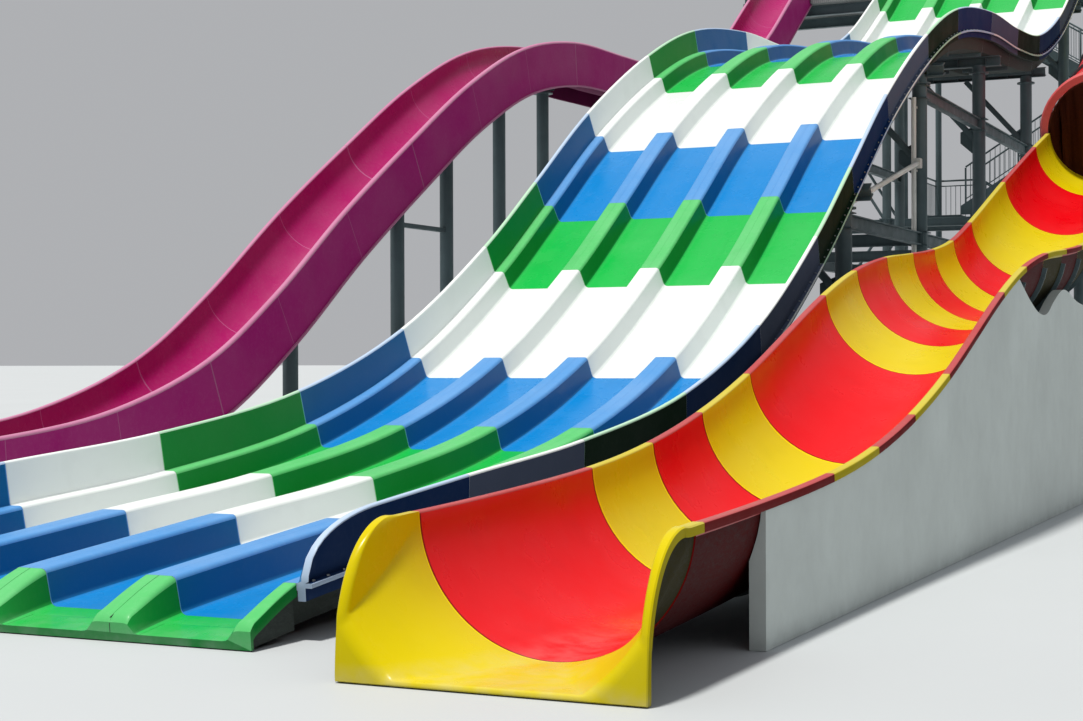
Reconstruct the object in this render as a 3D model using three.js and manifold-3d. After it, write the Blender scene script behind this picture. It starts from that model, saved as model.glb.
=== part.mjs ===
// Water slide tower: four racing lanes side by side, one open flume and one
// round chute, all running down from a steel start tower to pool level.
// Millimetres. +X runs across the lanes, +Y points uphill, +Z is up.
// Z = 0 is the water level, where the lanes end and every foot stands.

import * as THREE from 'three';
import { mergeVertices } from 'three/addons/utils/BufferGeometryUtils.js';
import Module from 'manifold-3d';

const wasm = await Module();
wasm.setup();

// Driving dimensions.

const METRE = 1000;
const CLEARANCE = 0.3; // between pieces that touch

// Racing lanes: joints of the mouldings along the floor, [y, z] in metres.
const LANE_JOINTS = [
  [-11.25, 0.05], [-10.75, 0.1], [-8.65, 0.28], [-6.65, 0.44], [-4.3, 0.78],
  [-2.1, 1.45], [0, 2.5], [1.45, 3.41], [3.1, 4.47], [5.25, 5.55], [7.1, 6.2],
  [9.5, 6.56], [11.7, 6.65], [13.85, 6.88], [16.1, 7.6], [18.3, 8.75],
  [20.3, 9.85], [22.87, 10.33],
];
const LANE_COUNT = 4;
const LANE_PITCH = 1000;
const LANE_SHELL = 45;
const RIDGE_HEIGHT = 240;
const RIDGE_HALF_TOP = 120;
const RIDGE_HALF_FOOT = 150;
const SIDE_HEIGHT = 585; // top of the outer walls above the lane floor
const SIDE_LEAN = 25;
const SIDE_THICK = 50;
const SIDE_FLANGE = 30; // bolted flange where the wall stands on the ledge
const SIDE_FLANGE_REACH = 45;
const SIDE_LIP = 110; // turned-down lip below the ledge
const SIDE_END_CURVE = 950; // length of the rounded end of the outer walls
const NOSE_FRONT = 95; // height of the blunt front of each ridge

// Round chute: joints along its rim, [y, z] in metres.
const CHUTE_JOINTS = [
  [-11.9, 0.82], [-11.1, 0.82], [-8.7, 0.93], [-7.6, 1.05], [-6.55, 1.24],
  [-5.4, 1.53], [-3.15, 2.25], [-2.05, 2.53], [-0.85, 2.72], [0.3, 2.82],
  [1.35, 2.92], [2.35, 3.08], [3.4, 3.37], [5.6, 4.07], [8, 4.8], [9.2, 5.14],
];
// The same line goes on as a closed tube, along the tube's axis.
const TUBE_JOINTS = [
  [8, 4.8], [9.2, 5.14], [12.4, 6.45], [15.8, 8.1], [19.2, 9.75], [22.8, 11.1],
];
const CHUTE_X = 5800;
const CHUTE_HALF = 800; // inner half width at the rim
const CHUTE_DEPTH = 760;
const CHUTE_SHELL = 40;
const CHUTE_FLANGE = 65;
const CHUTE_LIP = 55;
const EXIT_FLARE = 30; // how far the end of the chute turns outward
const EXIT_SQUARE = 12; // how much its round section squares up towards the end
const EXIT_SET = 2.2; // how late along the end moulding that happens
const EXIT_ROUND = 520; // how far the upper corner of the end is rounded back
const EXIT_ROUND_DOWN = 0.86; // and how far down, as a share of the depth
const TUBE_COLLAR = 90;
const TUBE_COLLAR_LENGTH = 140;

// Open flume: points along its rim, [y, z] in metres.
const FLUME_POINTS = [
  [-7.2, 0.82], [-5.4, 0.89], [-3.6, 1.12], [-1.85, 1.66], [-0.4, 2.48], [1.3, 3.66],
  [3.1, 4.78], [5, 5.88], [6.9, 6.7], [8.9, 7.11], [11.1, 7.2], [13.3, 7.26],
  [15.5, 7.42], [17.6, 7.88], [19.6, 8.85], [21.3, 9.98], [22.8, 10.98],
];
const FLUME_SPLITS = [0, 3, 6, 9, 12, 16]; // points where its pieces join
const FLUME_X = -3500;
const FLUME_HALF = 500;
const FLUME_DEPTH = 620;
const FLUME_SHELL = 40;
const FLUME_RIM = 75;
const FLUME_SKIRT = 775; // flat outer sides, hanging lower than the trough
const FLUME_SKIRT_THICK = 30;
const FLUME_SKIRT_FLANGE = 25;

// Wall along the outer side of the round chute.
const WALL_X = 6600;
const WALL_THICK = 100;
const WALL_START = -10050;
const WALL_RIM_END = -2440; // up to here its top follows the chute's rim
// From there on, points of its top, [y, z] in metres.
const WALL_TOP = [
  [-1.78, 2.21], [-1.3, 2.1], [-0.85, 2.1], [-0.39, 2.25], [0.19, 2.38], [1.15, 2.27],
  [3.2, 2.2],
];

// Steelwork.
const COLUMN_RADIUS = 110;
const COLUMN_SIDES = 8;
const COLUMN_FLAT = COLUMN_RADIUS * Math.cos(Math.PI / COLUMN_SIDES);
const FOOT_PLATE = 420;
const FOOT_PLATE_THICK = 25;
const CROSS_BEAM = { wide: 160, tall: 240 };
const TRESTLE_INSET = 300; // columns stand this far in from the lane edges
const TRESTLES = [-6200, -1700, 2100, 6100, 10200, 14400, 18600];
// Ties along both sides from one trestle to the next, from the given y on.
const TRESTLE_TIES = [{ z: 3350, from: 2100 }, { z: 5450, from: 6100 }];
const TIE = { wide: 110, tall: 180 };
const FLUME_POSTS = [-2600, 800, 3700, 5250, 7100, 8800, 12600, 16200, 19600];
const CHUTE_POSTS = [-4600, -1900, 300, 3400, 7000, 11000, 15000, 19000];
const POST_RAIL_Z = 450;

// Start tower.
const DECK_TOP = 10300;
const DECK_THICK = 120;
const DECK = { x0: -4600, x1: 7300, y0: 22810, y1: 25000 };
const STAIR = { x0: -1000, x1: 5450, y0: 25000, y1: 27600 };
const LANDING = 1200;
const FLIGHTS = 4;
const STEPS = 14;
const TREAD_THICK = 40;
const STRINGER = { wide: 50, tall: 240 };
const TOWER_LEGS_X = [-4300, -1150, 5600, 7000];
const TOWER_LEGS_Y = [23200, 24850];
const TOWER_MIDDLE = 4850; // height of the beams halfway up
const RAIL_HEIGHT = 1100;
const RAIL = 50;

// Colours.

const RED = 0xee1c2d;
const YELLOW = 0xe1d70f;
const BLUE = 0x1478d2;
const GREEN = 0x32b450;
const WHITE = 0xebf5f3;
const MAGENTA = 0xb91450;
const STEEL = 0x50646a;
const PLASTER = 0xa0aaac;
const DECK_GREY = 0x8c9291;

// Helpers.

const group = new THREE.Group();

function add(name, geometry, color, roughness = 0.35, metalness = 0) {
  const material = new THREE.MeshStandardMaterial({ color, roughness, metalness });
  const mesh = new THREE.Mesh(geometry, material);
  mesh.name = name;
  group.add(mesh);
  return mesh;
}

function outline(points) {
  return new THREE.Shape(points.map(([x, y]) => new THREE.Vector2(x, y)));
}

// A smooth line in the Y-Z plane through joints given in metres.
function line(joints) {
  return new THREE.CatmullRomCurve3(
    joints.map(([y, z]) => new THREE.Vector3(0, y * METRE, z * METRE)),
  );
}

// Sweep an outline between two joints of a line. The outline's x runs
// across, its y stands square to the line. shape(x, h, s) may move a point,
// with s from 0 at the low end to 1 at the high end.
function sweep(shapeOutline, curve, from, to, steps, gap = CLEARANCE / 2, shaper = null) {
  const spans = curve.points.length - 1;
  const t0 = from / spans;
  const t1 = to / spans;
  const reach = curve.getPoint(t0).distanceTo(curve.getPoint(t1));
  const trim = (gap / reach) * (t1 - t0);
  const geometry = new THREE.ExtrudeGeometry(shapeOutline, {
    depth: 1,
    steps,
    bevelEnabled: false,
  });
  const position = geometry.attributes.position;
  for (let i = 0; i < position.count; i += 1) {
    const s = 1 - position.getZ(i);
    const t = t0 + trim + s * (t1 - t0 - 2 * trim);
    const centre = curve.getPoint(t);
    const along = curve.getTangent(t);
    let x = position.getX(i);
    let h = position.getY(i);
    let back = 0;
    if (shaper) {
      [x, h, back] = shaper(x, h, s);
    }
    const y = centre.y - h * along.z + back * along.y;
    const z = centre.z + h * along.y + back * along.z;
    position.setXYZ(i, x, y, z);
  }
  geometry.computeVertexNormals();
  return geometry;
}

function toSolid(geometry) {
  const bare = geometry.clone();
  bare.deleteAttribute('normal');
  bare.deleteAttribute('uv');
  const merged = mergeVertices(bare.index ? bare.toNonIndexed() : bare, 0.001);
  return new wasm.Manifold(new wasm.Mesh({
    numProp: 3,
    vertProperties: new Float32Array(merged.attributes.position.array),
    triVerts: new Uint32Array(merged.index.array),
  }));
}

function toGeometry(solid) {
  const mesh = solid.getMesh();
  const geometry = new THREE.BufferGeometry();
  geometry.setAttribute('position', new THREE.BufferAttribute(mesh.vertProperties, 3));
  geometry.setIndex(new THREE.BufferAttribute(mesh.triVerts, 1));
  geometry.computeVertexNormals();
  return geometry;
}

function union(geometries) {
  return geometries.map(toSolid).reduce((whole, piece) => whole.add(piece));
}

function box(x0, x1, y0, y1, z0, z1) {
  const geometry = new THREE.BoxGeometry(x1 - x0, y1 - y0, z1 - z0);
  geometry.translate((x0 + x1) / 2, (y0 + y1) / 2, (z0 + z1) / 2);
  return geometry;
}

function column(x, y, z0, z1, radius = COLUMN_RADIUS, sides = COLUMN_SIDES) {
  const geometry = new THREE.CylinderGeometry(radius, radius, z1 - z0, sides);
  geometry.rotateX(Math.PI / 2);
  geometry.rotateZ(Math.PI / sides);
  geometry.translate(x, y, (z0 + z1) / 2);
  return geometry;
}

function footPlate(x, y) {
  const half = FOOT_PLATE / 2;
  return box(x - half, x + half, y - half, y + half, 0, FOOT_PLATE_THICK);
}

// A square bar between two points.
function bar(a, b, size, tall = size) {
  const from = new THREE.Vector3(...a);
  const to = new THREE.Vector3(...b);
  const run = to.clone().sub(from);
  const geometry = new THREE.BoxGeometry(size, run.length(), tall);
  const side = Math.abs(run.z) > 0.99 * run.length()
    ? new THREE.Vector3(1, 0, 0)
    : new THREE.Vector3().crossVectors(run, new THREE.Vector3(0, 0, 1)).normalize();
  const forward = run.clone().normalize();
  const up = new THREE.Vector3().crossVectors(side, forward);
  geometry.applyMatrix4(new THREE.Matrix4().makeBasis(side, forward, up));
  const middle = from.clone().add(to).multiplyScalar(0.5);
  geometry.translate(middle.x, middle.y, middle.z);
  return geometry;
}

// Where a line passes a given y: its height and its slope.
function lineAt(curve, y) {
  let low = 0;
  let high = 1;
  for (let i = 0; i < 40; i += 1) {
    const middle = (low + high) / 2;
    if (curve.getPoint(middle).y < y) {
      low = middle;
    } else {
      high = middle;
    }
  }
  const along = curve.getTangent(low);
  return { z: curve.getPoint(low).z, slope: Math.atan2(along.z, along.y) };
}

// Racing lanes.

const laneLine = line(LANE_JOINTS);
const LANE_WIDTH = LANE_COUNT * LANE_PITCH;
const LANE_STEPS = 2;

// Upper side of the lanes, from the left ledge to the right one.
function laneTop(ledge) {
  const points = [[RIDGE_HALF_TOP, RIDGE_HEIGHT], [RIDGE_HALF_FOOT, 0]];
  for (let i = 1; i < LANE_COUNT; i += 1) {
    const x = i * LANE_PITCH;
    points.push([x - RIDGE_HALF_FOOT, 0]);
    points.push([x - RIDGE_HALF_TOP, RIDGE_HEIGHT]);
    points.push([x + RIDGE_HALF_TOP, RIDGE_HEIGHT]);
    points.push([x + RIDGE_HALF_FOOT, 0]);
  }
  points.push([LANE_WIDTH - RIDGE_HALF_FOOT, 0]);
  points.push([LANE_WIDTH - RIDGE_HALF_TOP, RIDGE_HEIGHT]);
  return [...ledge.map(([x, h]) => [x, h]), ...points];
}

function laneOutline() {
  const wallTop = [
    [-SIDE_THICK, RIDGE_HEIGHT - SIDE_LIP],
    [-SIDE_THICK, RIDGE_HEIGHT - SIDE_FLANGE],
    [-SIDE_THICK - SIDE_FLANGE_REACH, RIDGE_HEIGHT - SIDE_FLANGE],
    [-SIDE_THICK - SIDE_FLANGE_REACH, RIDGE_HEIGHT],
    [-SIDE_THICK, RIDGE_HEIGHT],
    [-SIDE_THICK - SIDE_LEAN, SIDE_HEIGHT],
    [-SIDE_LEAN, SIDE_HEIGHT],
    [0, RIDGE_HEIGHT],
  ];
  const points = laneTop(wallTop);
  for (let i = wallTop.length - 1; i >= 0; i -= 1) {
    points.push([LANE_WIDTH - wallTop[i][0], wallTop[i][1]]);
  }
  // Back along the underside, hollow below each ridge.
  const inTop = RIDGE_HALF_TOP - LANE_SHELL;
  const inFoot = RIDGE_HALF_FOOT - LANE_SHELL;
  const roof = RIDGE_HEIGHT - LANE_SHELL;
  points.push([LANE_WIDTH - SIDE_THICK + LANE_SHELL, RIDGE_HEIGHT - SIDE_LIP]);
  points.push([LANE_WIDTH - SIDE_THICK + LANE_SHELL, roof]);
  points.push([LANE_WIDTH - inTop, roof]);
  points.push([LANE_WIDTH - inFoot, -LANE_SHELL]);
  for (let i = LANE_COUNT - 1; i > 0; i -= 1) {
    const x = i * LANE_PITCH;
    points.push([x + inFoot, -LANE_SHELL]);
    points.push([x + inTop, roof]);
    points.push([x - inTop, roof]);
    points.push([x - inFoot, -LANE_SHELL]);
  }
  points.push([inFoot, -LANE_SHELL]);
  points.push([inTop, roof]);
  points.push([SIDE_THICK - LANE_SHELL, roof]);
  points.push([SIDE_THICK - LANE_SHELL, RIDGE_HEIGHT - SIDE_LIP]);
  return outline(points);
}

function noseOutline() {
  const points = laneTop([[-SIDE_THICK, -LANE_SHELL], [-SIDE_THICK, RIDGE_HEIGHT]]);
  points.push([LANE_WIDTH + SIDE_THICK, RIDGE_HEIGHT]);
  points.push([LANE_WIDTH + SIDE_THICK, -LANE_SHELL]);
  return outline(points);
}

const LANE_COLOURS = [BLUE, WHITE, GREEN];
const LANE_COLOUR_NAMES = ['blue', 'white', 'green'];

add(
  'lanes_00_nose_green',
  sweep(noseOutline(), laneLine, 0, 1, 1, CLEARANCE / 2, (x, h, s) => {
    const top = NOSE_FRONT + s * (RIDGE_HEIGHT - NOSE_FRONT);
    if (h > 1) {
      return [x, top, 0];
    }
    return [x, h, 0];
  }),
  GREEN,
);

const laneShape = laneOutline();
for (let i = 1; i < LANE_JOINTS.length - 1; i += 1) {
  const kind = (i - 1) % LANE_COLOURS.length;
  const name = `lanes_${String(i).padStart(2, '0')}_${LANE_COLOUR_NAMES[kind]}`;
  const first = i === 1;
  const length = laneLine.getPoint(i / (LANE_JOINTS.length - 1))
    .distanceTo(laneLine.getPoint((i + 1) / (LANE_JOINTS.length - 1)));
  const roundEnd = (x, h, s) => {
    const rest = Math.max(0, 1 - (s * length) / SIDE_END_CURVE);
    const rise = Math.max(0.03, Math.sqrt(1 - rest * rest));
    return h > RIDGE_HEIGHT + 1 ? [x, RIDGE_HEIGHT + (h - RIDGE_HEIGHT) * rise, 0] : [x, h, 0];
  };
  add(
    name,
    sweep(laneShape, laneLine, i, i + 1, first ? 5 : LANE_STEPS, CLEARANCE / 2,
      first ? roundEnd : null),
    LANE_COLOURS[kind],
  );
}

// Round chute.

const chuteLine = line(CHUTE_JOINTS);
const tubeLine = line(TUBE_JOINTS);
const ARC_STEPS = 12;

function arc(halfWidth, depth, centreX, fromSide) {
  const points = [];
  for (let i = 0; i <= ARC_STEPS; i += 1) {
    const angle = Math.PI * (i / ARC_STEPS);
    points.push([centreX - fromSide * halfWidth * Math.cos(angle), -depth * Math.sin(angle)]);
  }
  return points;
}

function chuteOutline() {
  const inner = arc(CHUTE_HALF, CHUTE_DEPTH, CHUTE_X, 1);
  const outer = arc(CHUTE_HALF + CHUTE_SHELL, CHUTE_DEPTH + CHUTE_SHELL, CHUTE_X, -1)
    .slice(1, -1);
  const edge = CHUTE_HALF + CHUTE_FLANGE;
  // The lip ends on the outer side, between its first two points.
  const step = Math.PI / ARC_STEPS;
  const share = CHUTE_LIP / ((CHUTE_DEPTH + CHUTE_SHELL) * Math.sin(step));
  const root = (CHUTE_HALF + CHUTE_SHELL) * (1 - share * (1 - Math.cos(step)));
  return outline([
    ...inner,
    [CHUTE_X + edge, 0],
    [CHUTE_X + edge, -CHUTE_LIP],
    [CHUTE_X + root, -CHUTE_LIP],
    ...outer,
    [CHUTE_X - root, -CHUTE_LIP],
    [CHUTE_X - edge, -CHUTE_LIP],
    [CHUTE_X - edge, 0],
  ]);
}

// The low end squares up and turns outward, and its upper corners are rounded back.
// The rim narrows there to the thickness of the shell.
function exitShaper(x, h, s) {
  const near = (1 - s) ** EXIT_SET;
  const across = (x - CHUTE_X) / CHUTE_HALF;
  const down = -h / CHUTE_DEPTH;
  const reach = Math.max(Math.hypot(across, down), 0.001);
  const power = 2 + EXIT_SQUARE * near;
  const squared = (Math.abs(across / reach) ** power + Math.abs(down / reach) ** power)
    ** (-1 / power);
  const grow = squared + (EXIT_FLARE / CHUTE_HALF) * near * Math.abs(across / reach);
  const wide = Math.abs(x - CHUTE_X) > CHUTE_HALF + CHUTE_SHELL;
  const rim = wide ? (CHUTE_FLANGE - CHUTE_SHELL) * near * Math.sign(x - CHUTE_X) : 0;
  const roundDepth = EXIT_ROUND_DOWN * CHUTE_DEPTH;
  const up = Math.max(0, (h + roundDepth) / roundDepth);
  const back = EXIT_ROUND * (1 - Math.sqrt(Math.max(0, 1 - up * up))) * (1 - s);
  const lowest = -CHUTE_DEPTH - CHUTE_SHELL;
  return [CHUTE_X + (x - CHUTE_X) * grow - rim, Math.max(lowest, h * squared), back];
}

const chuteShape = chuteOutline();
for (let i = 0; i < CHUTE_JOINTS.length - 1; i += 1) {
  const red = i % 2 === 1;
  const name = `chute_${String(i).padStart(2, '0')}_${red ? 'red' : 'yellow'}`;
  const exit = i === 0;
  const steps = exit ? 5 : 1;
  add(
    name,
    sweep(chuteShape, chuteLine, i, i + 1, steps, CLEARANCE / 2, exit ? exitShaper : null),
    red ? RED : YELLOW,
  );
}

function ringOutline(outerGrow) {
  const sides = 2 * ARC_STEPS;
  const ellipse = (half, depth) => {
    const points = [];
    for (let i = 0; i < sides; i += 1) {
      const angle = (2 * Math.PI * i) / sides;
      points.push([CHUTE_X + half * Math.cos(angle), depth * Math.sin(angle)]);
    }
    return points;
  };
  const grow = CHUTE_SHELL + outerGrow;
  const shape = outline(ellipse(CHUTE_HALF + grow, CHUTE_DEPTH + grow));
  shape.holes.push(new THREE.Path(
    ellipse(CHUTE_HALF, CHUTE_DEPTH).map(([x, y]) => new THREE.Vector2(x, y)),
  ));
  return shape;
}

const collarShare = TUBE_COLLAR_LENGTH / (3.4 * METRE);
add(
  'chute_tube_lower',
  toGeometry(union([
    sweep(ringOutline(0), tubeLine, 1, 3, 4),
    sweep(ringOutline(TUBE_COLLAR), tubeLine, 1, 1 + collarShare, 1),
  ])),
  RED,
);
add('chute_tube_upper', sweep(ringOutline(0), tubeLine, 3, 5, 4), YELLOW);

// Open flume.

const flumeLine = line(FLUME_POINTS);
const FLUME_ARC = 6;

function flumeArc(radius, from) {
  const list = [];
  for (let i = 0; i <= FLUME_ARC; i += 1) {
    const angle = Math.PI * (i / FLUME_ARC);
    const h = FLUME_HALF - FLUME_DEPTH - radius * Math.sin(angle);
    list.push([FLUME_X - from * radius * Math.cos(angle), h]);
  }
  return list;
}

// A trough between two flat outer sides that hang below it and end in a small flange.
function flumeOutline() {
  const edge = FLUME_HALF + FLUME_RIM;
  const side = (from) => [
    [FLUME_X + from * edge, 0],
    [FLUME_X + from * edge, FLUME_SKIRT_THICK - FLUME_SKIRT],
    [FLUME_X + from * (edge + FLUME_SKIRT_FLANGE), FLUME_SKIRT_THICK - FLUME_SKIRT],
    [FLUME_X + from * (edge + FLUME_SKIRT_FLANGE), -FLUME_SKIRT],
    [FLUME_X + from * (edge - FLUME_SKIRT_THICK), -FLUME_SKIRT],
    [FLUME_X + from * (edge - FLUME_SKIRT_THICK), FLUME_HALF - FLUME_DEPTH],
  ];
  return outline([
    [FLUME_X - FLUME_HALF, 0],
    ...flumeArc(FLUME_HALF, 1),
    [FLUME_X + FLUME_HALF, 0],
    ...side(1),
    ...flumeArc(FLUME_HALF + FLUME_SHELL, -1).slice(1, -1),
    ...side(-1).reverse(),
  ]);
}

const flumeShape = flumeOutline();
for (let i = 0; i < FLUME_SPLITS.length - 1; i += 1) {
  const from = FLUME_SPLITS[i];
  const to = FLUME_SPLITS[i + 1];
  add(
    `flume_${i + 1}`,
    sweep(flumeShape, flumeLine, from, to, (to - from) * 2),
    MAGENTA,
  );
}

// Wall beside the round chute.

function wallOutline() {
  const under = (y) => {
    const at = lineAt(chuteLine, y);
    return at.z - (CHUTE_LIP - 6) / Math.cos(at.slope);
  };
  const top = WALL_TOP.map(([y, z]) => [y * METRE, z * METRE]).reverse();
  const points = [[WALL_START, 0], [top[0][0], 0], ...top];
  for (let y = WALL_RIM_END; y > WALL_START + 400; y -= 1100) {
    points.push([y, under(y)]);
  }
  points.push([WALL_START, under(WALL_START)]);
  return outline(points);
}

const wall = new THREE.ExtrudeGeometry(wallOutline(), { depth: WALL_THICK, bevelEnabled: false });
wall.applyMatrix4(new THREE.Matrix4().makeBasis(
  new THREE.Vector3(0, 1, 0),
  new THREE.Vector3(0, 0, 1),
  new THREE.Vector3(1, 0, 0),
));
wall.translate(WALL_X, 0, 0);

// Envelopes that the supports are cut back from.

// Space above the underside of the lanes, with the clearance below it.
function laneEnvelope() {
  const low = -LANE_SHELL - CLEARANCE;
  const shape = outline([
    [-900, low], [LANE_WIDTH + 900, low], [LANE_WIDTH + 900, 900], [-900, 900],
  ]);
  const spans = LANE_JOINTS.length - 2;
  return toSolid(sweep(shape, laneLine, 1, LANE_JOINTS.length - 1, spans * LANE_STEPS, 0));
}

function chuteEnvelope() {
  const grow = CHUTE_SHELL + CLEARANCE;
  const shape = outline([
    ...arc(CHUTE_HALF + grow, CHUTE_DEPTH + grow, CHUTE_X, 1),
    [CHUTE_X + CHUTE_HALF + grow, 900],
    [CHUTE_X - CHUTE_HALF - grow, 900],
  ]);
  const spans = CHUTE_JOINTS.length - 1;
  return toSolid(sweep(shape, chuteLine, 1, spans, spans - 1, 0));
}

// The rim flange and its lip, on the side where the wall stands.
function flangeEnvelope() {
  const root = CHUTE_X + CHUTE_HALF;
  const edge = root + CHUTE_FLANGE + CLEARANCE;
  const low = -CHUTE_LIP - CLEARANCE;
  const shape = outline([[root, low], [edge, low], [edge, 900], [root, 900]]);
  const spans = CHUTE_JOINTS.length - 1;
  return toSolid(sweep(shape, chuteLine, 0, spans, spans, 0));
}

function tubeEnvelope() {
  const grow = CHUTE_SHELL + CLEARANCE;
  const shape = outline([
    ...arc(CHUTE_HALF + grow, CHUTE_DEPTH + grow, CHUTE_X, 1),
    [CHUTE_X + CHUTE_HALF + grow, 900],
    [CHUTE_X - CHUTE_HALF - grow, 900],
  ]);
  return toSolid(sweep(shape, tubeLine, 1, 5, 8, 0));
}

function flumeEnvelope(whole) {
  const wide = FLUME_HALF + FLUME_RIM + FLUME_SKIRT_FLANGE + CLEARANCE;
  const low = -FLUME_SKIRT - CLEARANCE;
  const belly = flumeArc(FLUME_HALF + FLUME_SHELL + CLEARANCE, 1);
  const points = whole
    ? [[FLUME_X - wide, low], [FLUME_X + wide, low], [FLUME_X + wide, 900], [FLUME_X - wide, 900]]
    : [...belly, [belly[FLUME_ARC][0], 900], [belly[0][0], 900]];
  const spans = FLUME_POINTS.length - 1;
  return toSolid(sweep(outline(points), flumeLine, 0, spans, spans * 2, 0));
}

const chuteAbove = chuteEnvelope();
const wallSolid = toSolid(wall).subtract(flangeEnvelope()).subtract(chuteAbove);
add('chute_side_wall', toGeometry(wallSolid), PLASTER, 0.85);

// Lane supports.

const lanesAbove = laneEnvelope();

function trestleParts(y) {
  const at = lineAt(laneLine, y);
  const under = at.z - LANE_SHELL / Math.cos(at.slope);
  const parts = [];
  const beam = new THREE.BoxGeometry(LANE_WIDTH + 100, CROSS_BEAM.wide, CROSS_BEAM.tall);
  beam.rotateX(at.slope);
  beam.translate(LANE_WIDTH / 2, y, Math.max(under - 40, CROSS_BEAM.tall / 2 + 30));
  parts.push(beam);
  for (const x of [TRESTLE_INSET, LANE_WIDTH - TRESTLE_INSET]) {
    parts.push(footPlate(x, y));
    parts.push(column(x, y, 0, Math.max(under - 60, 60)));
  }
  return parts;
}

function kneeBraces(y) {
  const at = lineAt(laneLine, y);
  const top = at.z - 160;
  return [
    bar([TRESTLE_INSET, y, top - 1300], [TRESTLE_INSET + 1100, y, top - 60], 90),
    bar([LANE_WIDTH - TRESTLE_INSET, y, top - 1300],
      [LANE_WIDTH - TRESTLE_INSET - 1100, y, top - 60], 90),
  ];
}

TRESTLES.forEach((y, i) => {
  const parts = trestleParts(y);
  if (lineAt(laneLine, y).z > 2500) {
    parts.push(...kneeBraces(y));
  }
  const sides = [TRESTLE_INSET, LANE_WIDTH - TRESTLE_INSET];
  if (lineAt(laneLine, y).z > 5000) {
    const { z } = TRESTLE_TIES[0];
    parts.push(bar([sides[0], y, z], [sides[1], y, z], TIE.wide, TIE.tall));
  }
  for (const { z, from } of TRESTLE_TIES) {
    if (y >= from && i < TRESTLES.length - 1) {
      const end = TRESTLES[i + 1] - COLUMN_FLAT - CLEARANCE;
      for (const x of sides) {
        parts.push(bar([x, y, z], [x, end, z], TIE.wide, TIE.tall));
      }
    }
  }
  const solid = union(parts).subtract(lanesAbove);
  add(`lane_trestle_${i + 1}`, toGeometry(solid), STEEL, 0.5, 0.4);
});

// Posts under the flume and the chute.

function postRow(curves, x, posts, depth, headHalf, envelopes) {
  const parts = [];
  for (const y of posts) {
    const curve = y > curves[0].points[curves[0].points.length - 1].y ? curves[1] : curves[0];
    const at = lineAt(curve, y);
    const under = at.z - depth / Math.cos(at.slope);
    parts.push(footPlate(x, y));
    parts.push(column(x, y, 0, Math.max(under + 100, 120)));
    const headLow = Math.max(under - 150, 0);
    parts.push(box(x - headHalf, x + headHalf, y - 60, y + 60, headLow, under + 260));
  }
  parts.push(bar([x, posts[0], POST_RAIL_Z], [x, posts[posts.length - 1], POST_RAIL_Z], 90, 120));
  let solid = union(parts);
  for (const envelope of envelopes) {
    solid = solid.subtract(envelope);
  }
  return solid;
}

add('flume_posts', toGeometry(postRow([flumeLine], FLUME_X, FLUME_POSTS,
  FLUME_DEPTH + FLUME_SHELL, 380, [flumeEnvelope(false)])), STEEL, 0.5, 0.4);
add('chute_posts', toGeometry(postRow([chuteLine, tubeLine], CHUTE_X, CHUTE_POSTS,
  CHUTE_DEPTH + CHUTE_SHELL, 520, [chuteAbove, tubeEnvelope()])), STEEL, 0.5, 0.4);

// Start tower.

const DECK_LOW = DECK_TOP - DECK_THICK;
const FLIGHT_RISE = DECK_TOP / FLIGHTS;
const STEP_RISE = FLIGHT_RISE / STEPS;
const FLIGHT_RUN = STAIR.x1 - STAIR.x0 - 2 * LANDING;
const STEP_RUN = FLIGHT_RUN / STEPS;
const LANE_FRONT = { y0: STAIR.y0 + 80, y1: STAIR.y0 + 1230 };
const LANE_BACK = { y0: STAIR.y1 - 1230, y1: STAIR.y1 - 80 };

// Deck with the last landing as one plate, notched where the slides start.
const deckShape = outline([
  [DECK.x0, DECK.y0], [DECK.x1, DECK.y0], [DECK.x1, DECK.y1],
  [STAIR.x0 + LANDING, DECK.y1], [STAIR.x0 + LANDING, STAIR.y1],
  [STAIR.x0, STAIR.y1], [STAIR.x0, DECK.y1], [DECK.x0, DECK.y1],
]);
const deck = new THREE.ExtrudeGeometry(deckShape, { depth: DECK_THICK, bevelEnabled: false });
deck.translate(0, 0, DECK_LOW);
let deckSolid = toSolid(deck);
for (const start of [laneEnvelope(), tubeEnvelope(), flumeEnvelope(true)]) {
  deckSolid = deckSolid.subtract(start);
}
add('tower_deck', toGeometry(deckSolid), DECK_GREY, 0.8);

// Main frame below the deck: a front row and a back row of legs. The beams from
// front to back belong to the front row halfway up and to the back row at the top.
const legTop = DECK_LOW - CLEARANCE;
const [rowFront, rowBack] = TOWER_LEGS_Y;
const legFirst = TOWER_LEGS_X[0];
const legLast = TOWER_LEGS_X[TOWER_LEGS_X.length - 1];

function legRow(y) {
  const parts = [
    bar([legFirst, y, TOWER_MIDDLE], [legLast, y, TOWER_MIDDLE], 120, 200),
    box(legFirst, legLast, y - 70, y + 70, legTop - 240, legTop),
  ];
  for (const x of TOWER_LEGS_X) {
    parts.push(column(x, y, 0, legTop), footPlate(x, y));
  }
  return parts;
}

add('tower_frame_front', toGeometry(union([
  ...legRow(rowFront),
  ...TOWER_LEGS_X.map((x) => bar([x, rowFront, TOWER_MIDDLE],
    [x, rowBack - COLUMN_FLAT - CLEARANCE, TOWER_MIDDLE], 120, 200)),
])), STEEL, 0.5, 0.4);
add('tower_frame_back', toGeometry(union([
  ...legRow(rowBack),
  ...TOWER_LEGS_X.map((x) => box(x - 70, x + 70, rowFront + COLUMN_FLAT + CLEARANCE, rowBack,
    legTop - 240, legTop)),
])), STEEL, 0.5, 0.4);

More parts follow.
